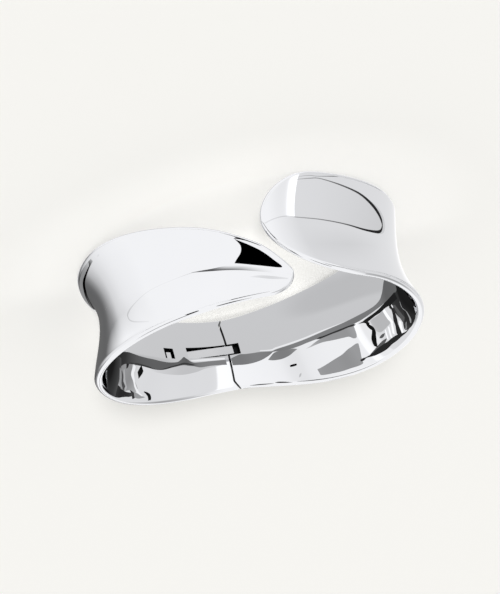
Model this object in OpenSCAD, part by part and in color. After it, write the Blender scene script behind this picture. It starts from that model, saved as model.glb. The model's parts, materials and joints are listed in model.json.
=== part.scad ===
// Wide hinged cuff bangle, lying on its side: two silver arms meet at a spring hinge at the back
// (+Y) and pass each other at the front (-Y), one ending in a point and one in a round end.
// The wall is a saddle: round the wrist it bends in, and across its width it flares out to both rims.

/* [Oval] */
// Width across the rims, from side to side
rim_w = 66.6; // [62:0.1:72]
// Depth over the rims, from the hinge to the opening
rim_d = 54; // [50:0.1:60]

/* [Wall] */
// Thickness of the wall; its rims are full rounds
wall = 1.6; // [1.3:0.05:1.9]
// Thickness at the two free ends, as a share of the wall
end_thin = 0.7; // [0.6:0.05:1]
// How late the wall flares out toward its rims
flare_power = 2; // [1.8:0.1:2.6]

/* [Seam] */
// Gap between the two arms at the hinge
seam_gap = 0.3; // [0.25:0.05:0.5]
// Angle round the oval by which the seam runs aside at the rims
seam_veer = 1.5; // [0:0.1:2]
// Share of the half width where the seam starts to run aside
veer_from = 0.8; // [0.75:0.01:0.9]

/* [Hinge] */
// Distance of the hinge axis outside the rims' outer line
axis_out = 0.2; // [0.1:0.05:0.4]
// Radius of a knuckle
knuckle_r = 0.75; // [0.7:0.01:0.8]
// Height of one knuckle
knuckle_h = 2; // [1.6:0.1:2.2]
// Gap between two knuckles
knuckle_gap = 0.1; // [0.08:0.01:0.2]
// Radius of the hinge pin
pin_r = 0.35; // [0.3:0.01:0.4]
// Space round the pin in its bores
pin_play = 0.03; // [0.02:0.01:0.05]

/* [Spring tongue] */
// Length of the tongue in the pointed arm
tongue_long = 8.7; // [7.5:0.1:9.5]
// Length of the tongue past the seam, in the rounded arm
tongue_short = 1.3; // [1:0.1:1.5]
// Height of the tongue across the band
tongue_h = 1.9; // [1.6:0.05:2]
// Thickness of the tongue
tongue_t = 0.55; // [0.4:0.05:0.6]
// Slope of the tongue, which sinks into the pointed arm away from the seam
tongue_slope = 3.5; // [3:0.1:4]
// How far the tongue lies under the inner face of the wall at the seam
tongue_sunk = 0.1; // [0.05:0.01:0.15]
// Turn of the loose tongue in its slot
tongue_turn = 1.2; // [0:0.1:1.5]
// Height of the slot that holds the tongue
slot_h = 2.4; // [2.2:0.05:2.6]
// Free length of the slot past the tongue's end
slot_free = 1.3; // [1:0.1:1.6]
// Space under the tongue
tongue_gap = 0.05; // [0.03:0.01:0.08]

/* [Peg window] */
// Angle round the oval from the hinge to the window's middle
window_at = 24.8; // [23:0.1:26]
// Height of the window's middle over the tongue's
window_up = 0.25; // [0:0.05:0.5]
// Length of the window round the band
window_l = 2.3; // [2:0.1:2.6]
// Height of the window across the band
window_h = 2.3; // [2:0.1:2.6]
// Depth of the window
window_deep = 0.9; // [0.6:0.05:1]
// Width of the peg in the window, round the band
peg_w = 1.1; // [0.8:0.05:1.4]
// Length of the peg from the window's top wall
peg_l = 1.6; // [1.2:0.05:1.9]
// Height of the peg from the window's floor
peg_tall = 0.6; // [0.4:0.05:0.7]

/* [Rest] */
// Lean of the oval to the side, as it rests on three points of its lower rim
lean_side = 2.25; // [0:0.05:5]
// Lean of the oval to the back
lean_back = -0.65; // [-3:0.05:3]

/* [Hidden] */
$fn = 48;

silver = [0.86, 0.86, 0.88];
silver_shade = [0.78, 0.78, 0.8];

// Columns of the arms' tables, one row for each section: angle round the oval from the hinge,
// heights of the top and bottom rims, how far those rims flare out from the waist, and how far the
// waist lies from the middle toward the bottom rim, as a share of half the width
ANGLE = 0;
TOP = 1;
BOTTOM = 2;
TOP_FLARE = 3;
BOTTOM_FLARE = 4;
WAIST_DROP = 5;

POINTED = [
    [0,    6.2, -9.6,  1.8, 1.8, 0],
    [15,   7.4, -10.3, 2.0, 2.0, 0],
    [30,   8.9, -10.5, 2.5, 2.3, 0.05],
    [50,  10.6, -10.3, 3.4, 2.7, 0.2],
    [75,  11.7, -10.1, 4.1, 2.9, 0.35],
    [100, 12.9, -9.8,  3.4, 3.1, 0.2],
    [117, 13.4, -9.5,  2.7, 2.9, 0.05],
    [133, 13.7, -8.1,  2.2, 2.0, 0],
    [147, 14.1, -5.7,  1.8, 1.6, 0],
    [160, 14.2, -2.9,  1.4, 1.2, 0],
    [171, 14.3, 1.0,   1.0, 0.9, 0],
    [183, 14.4, 6.2,   0.5, 0.4, 0],
];

ROUNDED = [
    [0,    6.2, -9.6,  1.8, 1.8, 0],
    [13,   7.1, -10.3, 1.9, 1.9, 0],
    [30,   9.4, -11.4, 2.2, 2.2, 0],
    [50,  11.1, -12.2, 2.5, 2.5, 0],
    [70,  11.5, -12.6, 2.7, 2.7, -0.1],
    [95,  11.3, -12.8, 2.5, 2.5, -0.2],
    [120, 11.2, -12.6, 2.1, 2.1, -0.1],
    [140, 10.8, -12.3, 1.8, 1.8, 0],
    [160, 10.9, -12.3, 1.3, 1.3, 0],
    [182, 10.8, -12.2, 0.6, 0.6, 0],
];

// The free ends: angle and height of the tip, then over how many degrees each rim closes to it
// and with what power (2 is an ellipse)
TIP_ANGLE = 0;
TIP_HEIGHT = 1;
TOP_RUN = 2;
TOP_POWER = 3;
BOTTOM_RUN = 4;
BOTTOM_POWER = 5;
POINTED_TIP = [184, 9.8, 10, 1.9, 10, 2.0];
ROUNDED_TIP = [182.2, -1.8, 34, 1.85, 22, 1.85];

// Mesh of an arm: sections along it, steps round each rim, and steps across the wall between rims
sections = 44;
rim_steps = 4;
wall_steps = 8;

half_w = rim_w / 2;
half_d = rim_d / 2;
lip_r = wall / 2;
// Least half height of a section, at the tip
least_h = 0.001;
// Largest share of a section's half height that a rim's round takes up
rim_share = 0.98;
// Angles over which the wall thins toward a free end, and over which the seam's veer fades
thin_run = 60;
veer_run = 12;
// Angle over which a rim's rise is taken
rise_step = 0.02;

// A smooth step from 0 to 1
function ease(x) = let (u = min(max(x, 0), 1)) u^2 * (3 - 2 * u);

// Cubic curve through the rows of a table, for one of its columns
function row_before(table, x) =
    let (n = len([for (r = table) if (r[ANGLE] <= x) r]))
    min(max(n - 1, 0), len(table) - 2);
function step_slope(table, col, i) =
    (table[i + 1][col] - table[i][col]) / (table[i + 1][ANGLE] - table[i][ANGLE]);
function row_slope(table, col, i) =
    i == 0 ? step_slope(table, col, 0)
    : i == len(table) - 1 ? step_slope(table, col, i - 1)
    : let (before = table[i][ANGLE] - table[i - 1][ANGLE], after = table[i + 1][ANGLE] - table[i][ANGLE])
      (step_slope(table, col, i - 1) * after + step_slope(table, col, i) * before) / (before + after);
function along(table, col, x) =
    let (i = row_before(table, x), h = table[i + 1][ANGLE] - table[i][ANGLE], u = (x - table[i][ANGLE]) / h)
    (2 * u^3 - 3 * u^2 + 1) * table[i][col] + (u^3 - 2 * u^2 + u) * h * row_slope(table, col, i)
    + (3 * u^2 - 2 * u^3) * table[i + 1][col] + (u^3 - u^2) * h * row_slope(table, col, i + 1);

// A rim's height: the table's, closed to the tip over the last degrees of the arm
function closing(u, power) = (1 - (1 - min(max(u, 0), 1))^power)^(1 / power);
function rim_height(arm, tip, t, col) =
    let (
        run = col == TOP ? tip[TOP_RUN] : tip[BOTTOM_RUN],
        power = col == TOP ? tip[TOP_POWER] : tip[BOTTOM_POWER]
    )
    tip[TIP_HEIGHT] + (along(arm, col, t) - tip[TIP_HEIGHT]) * closing((tip[TIP_ANGLE] - t) / run, power);
// Rise of a rim for each millimetre along the oval
function rim_rise(arm, tip, t, col) =
    let (a = min(t, tip[TIP_ANGLE] - rise_step), b = min(t + rise_step, tip[TIP_ANGLE]))
    (rim_height(arm, tip, b, col) - rim_height(arm, tip, a, col)) / ((b - a) * oval_step(t));

// The oval of the rims: a point at angle t from the hinge, the outward direction there, and the
// length of one degree; side is 1 for the arm on +X and -1 for the arm on -X
function oval_point(side, t) = [side * half_w * sin(t), half_d * cos(t)];
function oval_out(side, t) =
    let (n = [side * sin(t) / half_w, cos(t) / half_d]) n / norm(n);
function oval_step(t) = norm([half_w * cos(t), half_d * sin(t)]) * PI / 180;

// Half thickness of the wall at angle t, and at distance d in from the edge: a full round rim
function half_wall(tip, t) =
    lip_r * (1 - (1 - end_thin) * ease(1 - (tip[TIP_ANGLE] - t) / thin_run));
function rim_round(r, d) = d >= r ? r : r * sqrt(1 - (1 - max(d, 0) / r)^2);

// Places across the wall, from -1 at the bottom rim to 1 at the top rim, close together at the rims
function rim_places(half_h, rise, r) =
    let (reach = half_h / sqrt(1 + rise^2) / 2, deep = min(r, rim_share * reach))
    [for (k = [0:rim_steps]) sqrt(max(0, 1 - deep / reach * (1 - cos(90 * k / rim_steps))))];
function across(low, high) =
    let (a = -low[rim_steps], b = high[rim_steps])
    [
        for (k = [0:rim_steps]) -low[k],
        for (k = [1:wall_steps - 1]) a + (b - a) * k / wall_steps,
        for (k = [rim_steps:-1:0]) high[k],
    ];

// How far the wall's middle stands out from the waist at a place across the band, where h runs from
// -1 to 1 between the untrimmed rims, and how fast that grows with h
function spread(top, bottom, h) = bottom + (top - bottom) * ease((h + 1) / 2);
function spread_rate(top, bottom, h) =
    let (u = min(max((h + 1) / 2, 0), 1)) (top - bottom) * 3 * u * (1 - u);
function flared(top, bottom, drop, h) =
    spread(top, bottom, h) * abs(h + drop * (1 - h^2))^flare_power;
function flare_rate(top, bottom, drop, h) =
    let (w = h + drop * (1 - h^2))
    spread(top, bottom, h) * flare_power * abs(w)^(flare_power - 1) * sign(w) * (1 - 2 * drop * h)
    + spread_rate(top, bottom, h) * abs(w)^flare_power;

// One section of an arm as a closed ring: up the outside and down the inside
function ring(side, arm, tip, t) =
    let (
        top = rim_height(arm, tip, t, TOP),
        bottom = rim_height(arm, tip, t, BOTTOM),
        half_h = max((top - bottom) / 2, least_h),
        middle = (top + bottom) / 2,
        top_rise = rim_rise(arm, tip, t, TOP),
        bottom_rise = rim_rise(arm, tip, t, BOTTOM),
        r = half_wall(tip, t),
        full_top = along(arm, TOP, t),
        full_bottom = along(arm, BOTTOM, t),
        full_h = (full_top - full_bottom) / 2,
        full_middle = (full_top + full_bottom) / 2,
        top_flare = along(arm, TOP_FLARE, t),
        bottom_flare = along(arm, BOTTOM_FLARE, t),
        drop = along(arm, WAIST_DROP, t),
        places = across(rim_places(half_h, bottom_rise, r), rim_places(half_h, top_rise, r)),
        walls = [for (v = places)
            let (
                z = middle + v * half_h,
                rise = bottom_rise + (top_rise - bottom_rise) * ease((v + 1) / 2),
                near_rim = max(0, (abs(v) - veer_from) / (1 - veer_from)),
                a = t - side * seam_veer * near_rim * ease(1 - t / veer_run),
                out = oval_out(side, a),
                edge = (1 - v^2) * half_h / sqrt(1 + rise^2) / 2,
                h = (z - full_middle) / full_h,
                slope = flare_rate(top_flare, bottom_flare, drop, h) / full_h,
                lie = 1 / sqrt(1 + slope^2),
                base = oval_point(side, a) + out * (flared(top_flare, bottom_flare, drop, h) - top_flare)
            )
            [[base.x, base.y, z], [out.x * lie, out.y * lie, -slope * lie] * rim_round(r, edge)]]
    )
    [
        for (w = walls) w[0] + w[1],
        for (k = [len(walls) - 2:-1:1]) walls[k][0] - walls[k][1],
    ];

// Angles of the sections, closer together toward the tip
start_angle = seam_gap / 2 / oval_step(0);
function section_angle(tip, k) =
    start_angle + (tip[TIP_ANGLE] - start_angle) * sin(90 * k / sections);
function arm_rings(side, arm, tip) =
    [for (k = [0:sections - 1]) ring(side, arm, tip, section_angle(tip, k))];
function tip_point(side, arm, tip) =
    let (t = tip[TIP_ANGLE], p = oval_point(side, t) - oval_out(side, t) * along(arm, TOP_FLARE, t))
    [p.x, p.y, tip[TIP_HEIGHT]];

// A solid through a list of rings of equal length, closed to a point; side turns its faces outward
module loft(rings, point, side) {
    n = len(rings[0]);
    last = (len(rings) - 1) * n;
    walls = [for (i = [0:len(rings) - 2]) for (k = [0:n - 1])
        let (a = i * n + k, b = i * n + (k + 1) % n) each [[a, b, b + n], [a, b + n, a + n]]];
    tip_fan = [for (k = [0:n - 1]) [last + k, last + (k + 1) % n, last + n]];
    // the end at the seam, in strips between the outside and the inside of the wall
    half = n / 2;
    seam_end = [for (k = [0:half - 1])
        let (a = (n - k) % n, b = n - k - 1) each [[k, a, k + 1], [k + 1, a, b]]];
    faces = concat(walls, tip_fan, [for (f = seam_end) if (f[0] != f[1] && f[1] != f[2] && f[0] != f[2]) f]);
    polyhedron(
        points = [each [for (r = rings) for (p = r) p], point],
        faces = side < 0 ? faces : [for (f = faces) [for (k = [len(f) - 1:-1:0]) f[k]]]
    );
}

POINTED_RINGS = arm_rings(1, POINTED, POINTED_TIP);
ROUNDED_RINGS = arm_rings(-1, ROUNDED, ROUNDED_TIP);

// Hinge: the axis stands outside the waist, in the hollow between the flared rims
axis_y = half_d + axis_out;
band_middle = (POINTED[0][TOP] + POINTED[0][BOTTOM]) / 2;
waist_y = half_d - POINTED[0][TOP_FLARE];
barrel_h = 3 * knuckle_h + 2 * knuckle_gap;
wall_out = waist_y + lip_r - axis_y;
// The web that joins a knuckle to the wall: its reach, how deep it runs into the wall, its distance
// from the seam's middle, and the shares of the knuckle's radius at which it leaves the barrel
web_l = 2.8;
web_sunk = 0.3;
web_root = 0.45;
web_high = 0.6;
web_low = 0.3;

// Spring tongue: its inner face lies just under the wall's inner face at the seam
tongue_y = waist_y - lip_r + tongue_sunk;
seat_gap = 0.02;
slot_end_gap = 0.2;
slot_reach = 4;

// The resting place: the oval leans onto its lower rim, and the origin is under its middle
function leaned(p) =
    let (q = [p.x, p.y * cos(lean_back) - p.z * sin(lean_back), p.y * sin(lean_back) + p.z * cos(lean_back)])
    [q.x * cos(lean_side) + q.z * sin(lean_side), q.y, q.z * cos(lean_side) - q.x * sin(lean_side)];
OUTLINE = [for (rings = [POINTED_RINGS, ROUNDED_RINGS]) for (r = rings) for (p = r) leaned(p)];
low_x = min([for (p = OUTLINE) p.x]);
high_x = max([for (p = OUTLINE) p.x]);
low_y = min([for (p = OUTLINE) p.y]);
low_z = min([for (p = OUTLINE) p.z]);
high_y = max(max([for (p = OUTLINE) p.y]), leaned([0, axis_y, band_middle]).y + knuckle_r);
module at_rest() {
    translate([-(low_x + high_x) / 2, -(low_y + high_y) / 2, -low_z])
        rotate([0, lean_side, 0]) rotate([lean_back, 0, 0]) children();
}

// One knuckle with the web that joins it to the arm on its side; low is its lower end
module knuckle(side, low) {
    translate([0, axis_y, low]) {
        cylinder(h = knuckle_h, r = knuckle_r);
        linear_extrude(height = knuckle_h)
            polygon([
                [0, knuckle_r * web_high],
                [side * web_l, wall_out - web_sunk],
                [side * web_l, wall_out - 2 * web_sunk],
                [side * web_root, wall_out - 2 * web_sunk],
                [side * web_root, -knuckle_r * web_high],
                [0, -knuckle_r * web_low],
            ]);
    }
}

module pin_bore() {
    translate([0, axis_y, band_middle])
        cylinder(h = barrel_h + 2 * knuckle_gap, r = pin_r + pin_play, center = true);
}

// A bar that slopes with the tongue, from one X to another, with its thickness and height
module sloped_bar(from_x, to_x, near_y, thick, h) {
    translate([0, tongue_y, band_middle - h / 2])
        rotate([0, 0, -tongue_slope])
            translate([from_x, near_y, 0])
                cube([to_x - from_x, thick, h]);
}

// The slot in both arms, open to the inside of the bangle
module tongue_slot() {
    sloped_bar(-tongue_short - slot_free, tongue_long + slot_end_gap,
        -slot_reach, slot_reach + tongue_t + tongue_gap, slot_h);
}

// A frame on the inside of the wall at an angle round the oval, Y pointing out through the wall
module on_inner_wall(t) {
    out = oval_out(1, t);
    p = oval_point(1, t) - out * (along(POINTED, TOP_FLARE, t) + lip_r);
    translate([p.x, p.y, band_middle + window_up]) rotate([0, 0, atan2(out.y, out.x) - 90]) children();
}

module peg_window() {
    on_inner_wall(window_at)
        translate([-window_l / 2, -window_deep, -window_h / 2])
            cube([window_l, 2 * window_deep, window_h]);
}

module pointed_arm() {
    color(silver) at_rest() difference() {
        union() {
            loft(POINTED_RINGS, tip_point(1, POINTED, POINTED_TIP), 1);
            for (end = [-1, 1])
                knuckle(1, band_middle - knuckle_h / 2 + end * (knuckle_h + knuckle_gap));
        }
        pin_bore();
        tongue_slot();
        peg_window();
    }
}

module rounded_arm() {
    color(silver) at_rest() difference() {
        union() {
            loft(ROUNDED_RINGS, tip_point(-1, ROUNDED, ROUNDED_TIP), -1);
            knuckle(-1, band_middle - knuckle_h / 2);
        }
        pin_bore();
        tongue_slot();
    }
}

module hinge_tongue() {
    color(silver_shade) at_rest()
        translate([0, 0, band_middle]) rotate([0, -tongue_turn, 0]) translate([0, 0, -band_middle])
            sloped_bar(-tongue_short, tongue_long, 0, tongue_t, tongue_h);
}

module hinge_pin() {
    color(silver_shade) at_rest()
        translate([0, axis_y, band_middle - barrel_h / 2]) cylinder(h = barrel_h, r = pin_r);
}

module spring_peg() {
    color(silver_shade) at_rest()
        on_inner_wall(window_at)
            translate([-peg_w / 2, window_deep - peg_tall - seat_gap, window_h / 2 - peg_l - seat_gap])
                cube([peg_w, peg_tall, peg_l]);
}

pointed_arm();
rounded_arm();
hinge_tongue();
hinge_pin();
spring_peg();
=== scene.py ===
"""Looks of a wide hinged cuff bangle: two mirror-polished silver arms on a spring hinge.

The band is a saddle: round the wrist it bends in, and across its width it flares out to both
rims. Every arm starts as a flat blank, which a node tree bends into the saddle."""

import json
import math
from collections import namedtuple

import bmesh
import bpy
from bpy.props import (FloatProperty, FloatVectorProperty, IntProperty, PointerProperty,
                       StringProperty)
from mathutils import Euler, Matrix, Vector


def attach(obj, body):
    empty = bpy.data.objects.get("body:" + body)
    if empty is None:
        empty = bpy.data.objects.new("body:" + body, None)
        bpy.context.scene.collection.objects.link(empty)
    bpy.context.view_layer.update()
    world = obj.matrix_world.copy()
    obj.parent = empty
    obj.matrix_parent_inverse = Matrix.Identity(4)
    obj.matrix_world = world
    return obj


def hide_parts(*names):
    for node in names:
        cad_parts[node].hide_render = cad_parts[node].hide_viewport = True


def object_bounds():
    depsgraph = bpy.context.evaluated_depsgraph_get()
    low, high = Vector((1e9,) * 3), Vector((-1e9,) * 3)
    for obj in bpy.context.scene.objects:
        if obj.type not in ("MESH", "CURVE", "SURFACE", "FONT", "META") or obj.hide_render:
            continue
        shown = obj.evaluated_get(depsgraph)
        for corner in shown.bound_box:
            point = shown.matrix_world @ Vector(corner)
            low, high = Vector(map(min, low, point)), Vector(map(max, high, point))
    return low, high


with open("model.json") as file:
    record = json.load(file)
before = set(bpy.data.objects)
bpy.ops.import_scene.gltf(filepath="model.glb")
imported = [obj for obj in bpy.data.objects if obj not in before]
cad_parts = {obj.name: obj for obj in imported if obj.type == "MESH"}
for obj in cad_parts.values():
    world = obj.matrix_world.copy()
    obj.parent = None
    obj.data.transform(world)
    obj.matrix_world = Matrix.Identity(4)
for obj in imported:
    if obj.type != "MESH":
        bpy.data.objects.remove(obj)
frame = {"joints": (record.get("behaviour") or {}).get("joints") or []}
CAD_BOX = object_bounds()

bl_info = {
    "name": "Wide Hinged Cuff Bangle",
    "version": (1, 0, 0),
    "blender": (4, 5, 0),
    "location": "View3D > Sidebar > Bangle",
    "description": "A mirror-polished silver bangle of two arms on a spring hinge, in a studio",
    "category": "Add Mesh",
}

MM = 0.001

# Rows of an arm's table, from the hinge round to the free end: angle in degrees, heights of the
# top and bottom rims and how far those rims flare out from the waist, in millimetres, and how far
# the waist lies from the middle toward the bottom rim, as a share of half the width
Row = namedtuple("Row", "angle top bottom top_flare bottom_flare waist_drop", defaults=(0,))
POINTED_ROWS = [
    Row(0, 6.2, -9.6, 1.8, 1.8),
    Row(15, 7.4, -10.3, 2.0, 2.0),
    Row(30, 8.9, -10.5, 2.5, 2.3, 0.05),
    Row(50, 10.6, -10.3, 3.4, 2.7, 0.2),
    Row(75, 11.7, -10.1, 4.1, 2.9, 0.35),
    Row(100, 12.9, -9.8, 3.4, 3.1, 0.2),
    Row(117, 13.4, -9.5, 2.7, 2.9, 0.05),
    Row(133, 13.7, -8.1, 2.2, 2.0),
    Row(147, 14.1, -5.7, 1.8, 1.6),
    Row(160, 14.2, -2.9, 1.4, 1.2),
    Row(171, 14.3, 1.0, 1.0, 0.9),
    Row(183, 14.4, 6.2, 0.5, 0.4),
]
ROUNDED_ROWS = [
    Row(0, 6.2, -9.6, 1.8, 1.8),
    Row(13, 7.1, -10.3, 1.9, 1.9),
    Row(30, 9.4, -11.4, 2.2, 2.2),
    Row(50, 11.1, -12.2, 2.5, 2.5),
    Row(70, 11.5, -12.6, 2.7, 2.7, -0.1),
    Row(95, 11.3, -12.8, 2.5, 2.5, -0.2),
    Row(120, 11.2, -12.6, 2.1, 2.1, -0.1),
    Row(140, 10.8, -12.3, 1.8, 1.8),
    Row(160, 10.9, -12.3, 1.3, 1.3),
    Row(182, 10.8, -12.2, 0.6, 0.6),
]

# A free end: angle and height of its tip, then over how many degrees each rim closes to it, and
# with what power (2 is an ellipse)
Tip = namedtuple("Tip", "angle height top_run top_power bottom_run bottom_power")
Arm = namedtuple("Arm", "name node body side rows tip window")
ARMS = {
    "pointed": Arm("pointed", "pointed_arm", "pointed_half", 1, POINTED_ROWS,
                   Tip(184, 9.8, 10, 1.9, 10, 2.0), True),
    "rounded": Arm("rounded", "rounded_arm", "rounded_half", -1, ROUNDED_ROWS,
                   Tip(182.2, -1.8, 34, 1.85, 22, 1.85), False),
}

# The joint's axis is the hinge pin's, and its tilt is the tilt of the bangle as it lies
HINGE = frame["joints"][0]
HINGE_UP = -Vector(HINGE["axis"])
LEAN = Euler((-math.asin(HINGE_UP.y), math.atan2(HINGE_UP.x, HINGE_UP.z), 0)).to_matrix()


class BangleBand(bpy.types.PropertyGroup):
    """Sizes of the band and of the cuts in it"""

    rim_width: FloatProperty(
        name="Rim width", description="Width of the oval over the rims, from side to side",
        default=66.6 * MM, unit="LENGTH")
    rim_depth: FloatProperty(
        name="Rim depth", description="Depth of the oval over the rims, from hinge to opening",
        default=54 * MM, unit="LENGTH")
    wall: FloatProperty(
        name="Wall", description="Thickness of the wall; its rims are full rounds",
        default=1.6 * MM, unit="LENGTH")
    end_share: FloatProperty(
        name="End share", description="Thickness at the free ends, as a share of the wall",
        default=0.7, subtype="FACTOR")
    end_run: FloatProperty(
        name="End run", description="Angle over which the wall thins toward a free end",
        default=math.radians(60), subtype="ANGLE")
    flare_power: FloatProperty(
        name="Flare power", description="How late the wall flares out toward its rims", default=2)
    seam_gap: FloatProperty(
        name="Seam gap", description="Gap between the two arms at the hinge",
        default=0.45 * MM, unit="LENGTH")
    seam_veer: FloatProperty(
        name="Seam veer", description="Angle by which the seam runs aside at the rims",
        default=math.radians(2), subtype="ANGLE")
    veer_from: FloatProperty(
        name="Veer from", description="Share of the half width where the seam starts to run aside",
        default=0.8, subtype="FACTOR")
    veer_run: FloatProperty(
        name="Veer run", description="Angle from the seam over which the veer fades",
        default=math.radians(12), subtype="ANGLE")
    edge_round: FloatProperty(
        name="Edge round", description="Rounding of the edges at the seam and the cuts",
        default=0.1 * MM, unit="LENGTH")
    sections: IntProperty(
        name="Sections", description="Sections from the cuts round to a free end", default=260)


class BangleHinge(bpy.types.PropertyGroup):
    """Sizes of the hinge, its spring tongue and the peg window"""

    knuckle_radius: FloatProperty(
        name="Knuckle radius", description="Outer radius of a knuckle",
        default=0.75 * MM, unit="LENGTH")
    knuckle_height: FloatProperty(
        name="Knuckle height", description="Height of one knuckle", default=2 * MM, unit="LENGTH")
    knuckle_gap: FloatProperty(
        name="Knuckle gap", description="Gap between two knuckles",
        default=0.1 * MM, unit="LENGTH")
    pin_radius: FloatProperty(
        name="Pin radius", description="Radius of the hinge pin", default=0.35 * MM, unit="LENGTH")
    pin_play: FloatProperty(
        name="Pin play", description="Space round the pin in its bores",
        default=0.03 * MM, unit="LENGTH")
    web_length: FloatProperty(
        name="Web length", description="Reach of the web from the axis along the arm",
        default=2.8 * MM, unit="LENGTH")
    web_sunk: FloatProperty(
        name="Web sunk", description="How deep the web runs into the wall",
        default=0.3 * MM, unit="LENGTH")
    web_root: FloatProperty(
        name="Web root", description="Distance of the web's foot from the seam's middle",
        default=0.45 * MM, unit="LENGTH")
    axis_out: FloatProperty(
        name="Axis out", description="How far the axis stands outside the rims' oval",
        default=0.2 * MM, unit="LENGTH")
    tongue_long: FloatProperty(
        name="Tongue, long side", description="Length of the tongue in the pointed arm",
        default=8.7 * MM, unit="LENGTH")
    tongue_short: FloatProperty(
        name="Tongue, short side", description="Length of the tongue past the seam",
        default=1.3 * MM, unit="LENGTH")
    tongue_height: FloatProperty(
        name="Tongue height", description="Height of the tongue across the band",
        default=1.9 * MM, unit="LENGTH")
    tongue_thick: FloatProperty(
        name="Tongue thickness", description="Thickness of the tongue",
        default=0.55 * MM, unit="LENGTH")
    tongue_slope: FloatProperty(
        name="Tongue slope", description="How the tongue sinks into the pointed arm",
        default=math.radians(3.5), subtype="ANGLE")
    tongue_turn: FloatProperty(
        name="Tongue turn", description="Turn of the loose tongue in its slot",
        default=math.radians(1.2), subtype="ANGLE")
    tongue_sunk: FloatProperty(
        name="Tongue sunk", description="How far the tongue lies under the wall's inner face",
        default=0.1 * MM, unit="LENGTH")
    slot_height: FloatProperty(
        name="Slot height", description="Height of the slot that holds the tongue",
        default=2.4 * MM, unit="LENGTH")
    slot_free: FloatProperty(
        name="Slot free", description="Free length of the slot past the tongue's end",
        default=1.3 * MM, unit="LENGTH")
    slot_end_gap: FloatProperty(
        name="Slot end gap", description="Gap at the tongue's other end",
        default=0.2 * MM, unit="LENGTH")
    tongue_gap: FloatProperty(
        name="Tongue gap", description="Space under the tongue", default=0.05 * MM, unit="LENGTH")
    window_angle: FloatProperty(
        name="Window angle", description="Angle from the hinge to the window's middle",
        default=math.radians(24.8), subtype="ANGLE")
    window_up: FloatProperty(
        name="Window up", description="Height of the window's middle over the tongue's",
        default=0.25 * MM, unit="LENGTH")
    window_length: FloatProperty(
        name="Window length", description="Length of the window round the band",
        default=2.3 * MM, unit="LENGTH")
    window_height: FloatProperty(
        name="Window height", description="Height of the window across the band",
        default=2.3 * MM, unit="LENGTH")
    window_deep: FloatProperty(
        name="Window depth", description="Depth of the window", default=0.9 * MM, unit="LENGTH")
    peg_width: FloatProperty(
        name="Peg width", description="Width of the peg round the band",
        default=1.1 * MM, unit="LENGTH")
    peg_length: FloatProperty(
        name="Peg length", description="Length of the peg from the window's top wall",
        default=1.6 * MM, unit="LENGTH")
    peg_tall: FloatProperty(
        name="Peg height", description="Height of the peg over the window's floor",
        default=0.6 * MM, unit="LENGTH")
    piece_round: FloatProperty(
        name="Piece round", description="Rounding of the tongue's, pin's and peg's edges",
        default=0.1 * MM, unit="LENGTH")


class BangleFinish(bpy.types.PropertyGroup):
    """Colours and polish of the silver"""

    silver: FloatVectorProperty(
        name="Silver", description="Colour of the polished silver", subtype="COLOR",
        default=(0.72, 0.725, 0.745))
    silver_deep: FloatVectorProperty(
        name="Silver, deeper", description="Colour where the polish has a deeper tone",
        subtype="COLOR", default=(0.705, 0.71, 0.728))
    # Painted shade: the recess colour is near black, so the slots, the seam and their rounded edges
    # read as shaded
    recess: FloatVectorProperty(
        name="Recess", description="Colour of the silver in the slots and the seam",
        subtype="COLOR", default=(0.02, 0.02, 0.021))
    spring: FloatVectorProperty(
        name="Spring", description="Colour of the tongue's, the peg's and the pin's silver",
        subtype="COLOR", default=(0.88, 0.88, 0.895))
    roughness: FloatProperty(
        name="Roughness", description="Roughness of the mirror polish", default=0.004,
        subtype="FACTOR")
    wave: FloatProperty(
        name="Wave", description="Height of the faint waves that polishing leaves",
        default=0.004 * MM, unit="LENGTH")


class BangleStudio(bpy.types.PropertyGroup):
    """Camera, floor and light"""

    azimuth: FloatProperty(
        name="Azimuth", description="The camera's angle round the bangle",
        default=math.radians(17.84), subtype="ANGLE")
    elevation: FloatProperty(
        name="Elevation", description="The camera's angle above the floor",
        default=math.radians(27.05), subtype="ANGLE")
    roll: FloatProperty(
        name="Roll", description="The camera's turn about its own view, as the photo holds it",
        default=math.radians(161.6), subtype="ANGLE")
    distance: FloatProperty(
        name="Distance", description="Distance from the camera to the bangle",
        default=0.6, unit="LENGTH")
    lens: FloatProperty(
        name="Lens", description="Focal length of the camera, in millimetres", default=182.5)
    target: FloatVectorProperty(
        name="Target", description="The point that the camera looks at", subtype="XYZ",
        default=(-0.45 * MM, -0.58 * MM, 11.48 * MM), unit="LENGTH")
    floor: FloatVectorProperty(
        name="Floor", description="Colour of the floor", subtype="COLOR",
        default=(0.92, 0.911, 0.877))
    # Painted light: the floor's emission round the bangle, which lifts and shapes the shade there
    floor_painted_light: FloatProperty(
        name="Floor glow", default=0.08,
        description="Light from the floor round the bangle, as from a light table")
    # Painted light: the floor's extra emission inside the bangle, which lifts the shade there
    hollow_painted_light: FloatProperty(
        name="Hollow glow", default=0.3,
        description="How much more light the floor gives inside the bangle")
    key_strength: FloatProperty(
        name="Key light", default=1.75,
        description="Strength of the low, distant key light in front")
    key_azimuth: FloatProperty(
        name="Key azimuth", description="The key light's angle round the bangle",
        default=math.radians(15), subtype="ANGLE")
    key_elevation: FloatProperty(
        name="Key elevation", description="Height of the key light above the floor, as an angle",
        default=math.radians(23), subtype="ANGLE")
    key_size: FloatProperty(
        name="Key size", description="Width of the key light, as an angle",
        default=math.radians(7), subtype="ANGLE")
    sky_front: FloatProperty(
        name="Sky, front", description="Light of the sky in front of the opening", default=0.81)
    sky_back: FloatProperty(
        name="Sky, back", description="Light of the sky behind the hinge", default=0.77)
    surround_radius: FloatProperty(
        name="Surround radius", description="Radius of the surround that the silver mirrors",
        default=2.4, unit="LENGTH")


def ease(share):
    """A smooth step from 0 to 1."""
    share = min(max(share, 0), 1)
    return share * share * (3 - 2 * share)


def spaced(low, high, steps):
    """Evenly spaced values, without the last."""
    return [low + (high - low) * k / steps for k in range(steps)]


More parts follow.
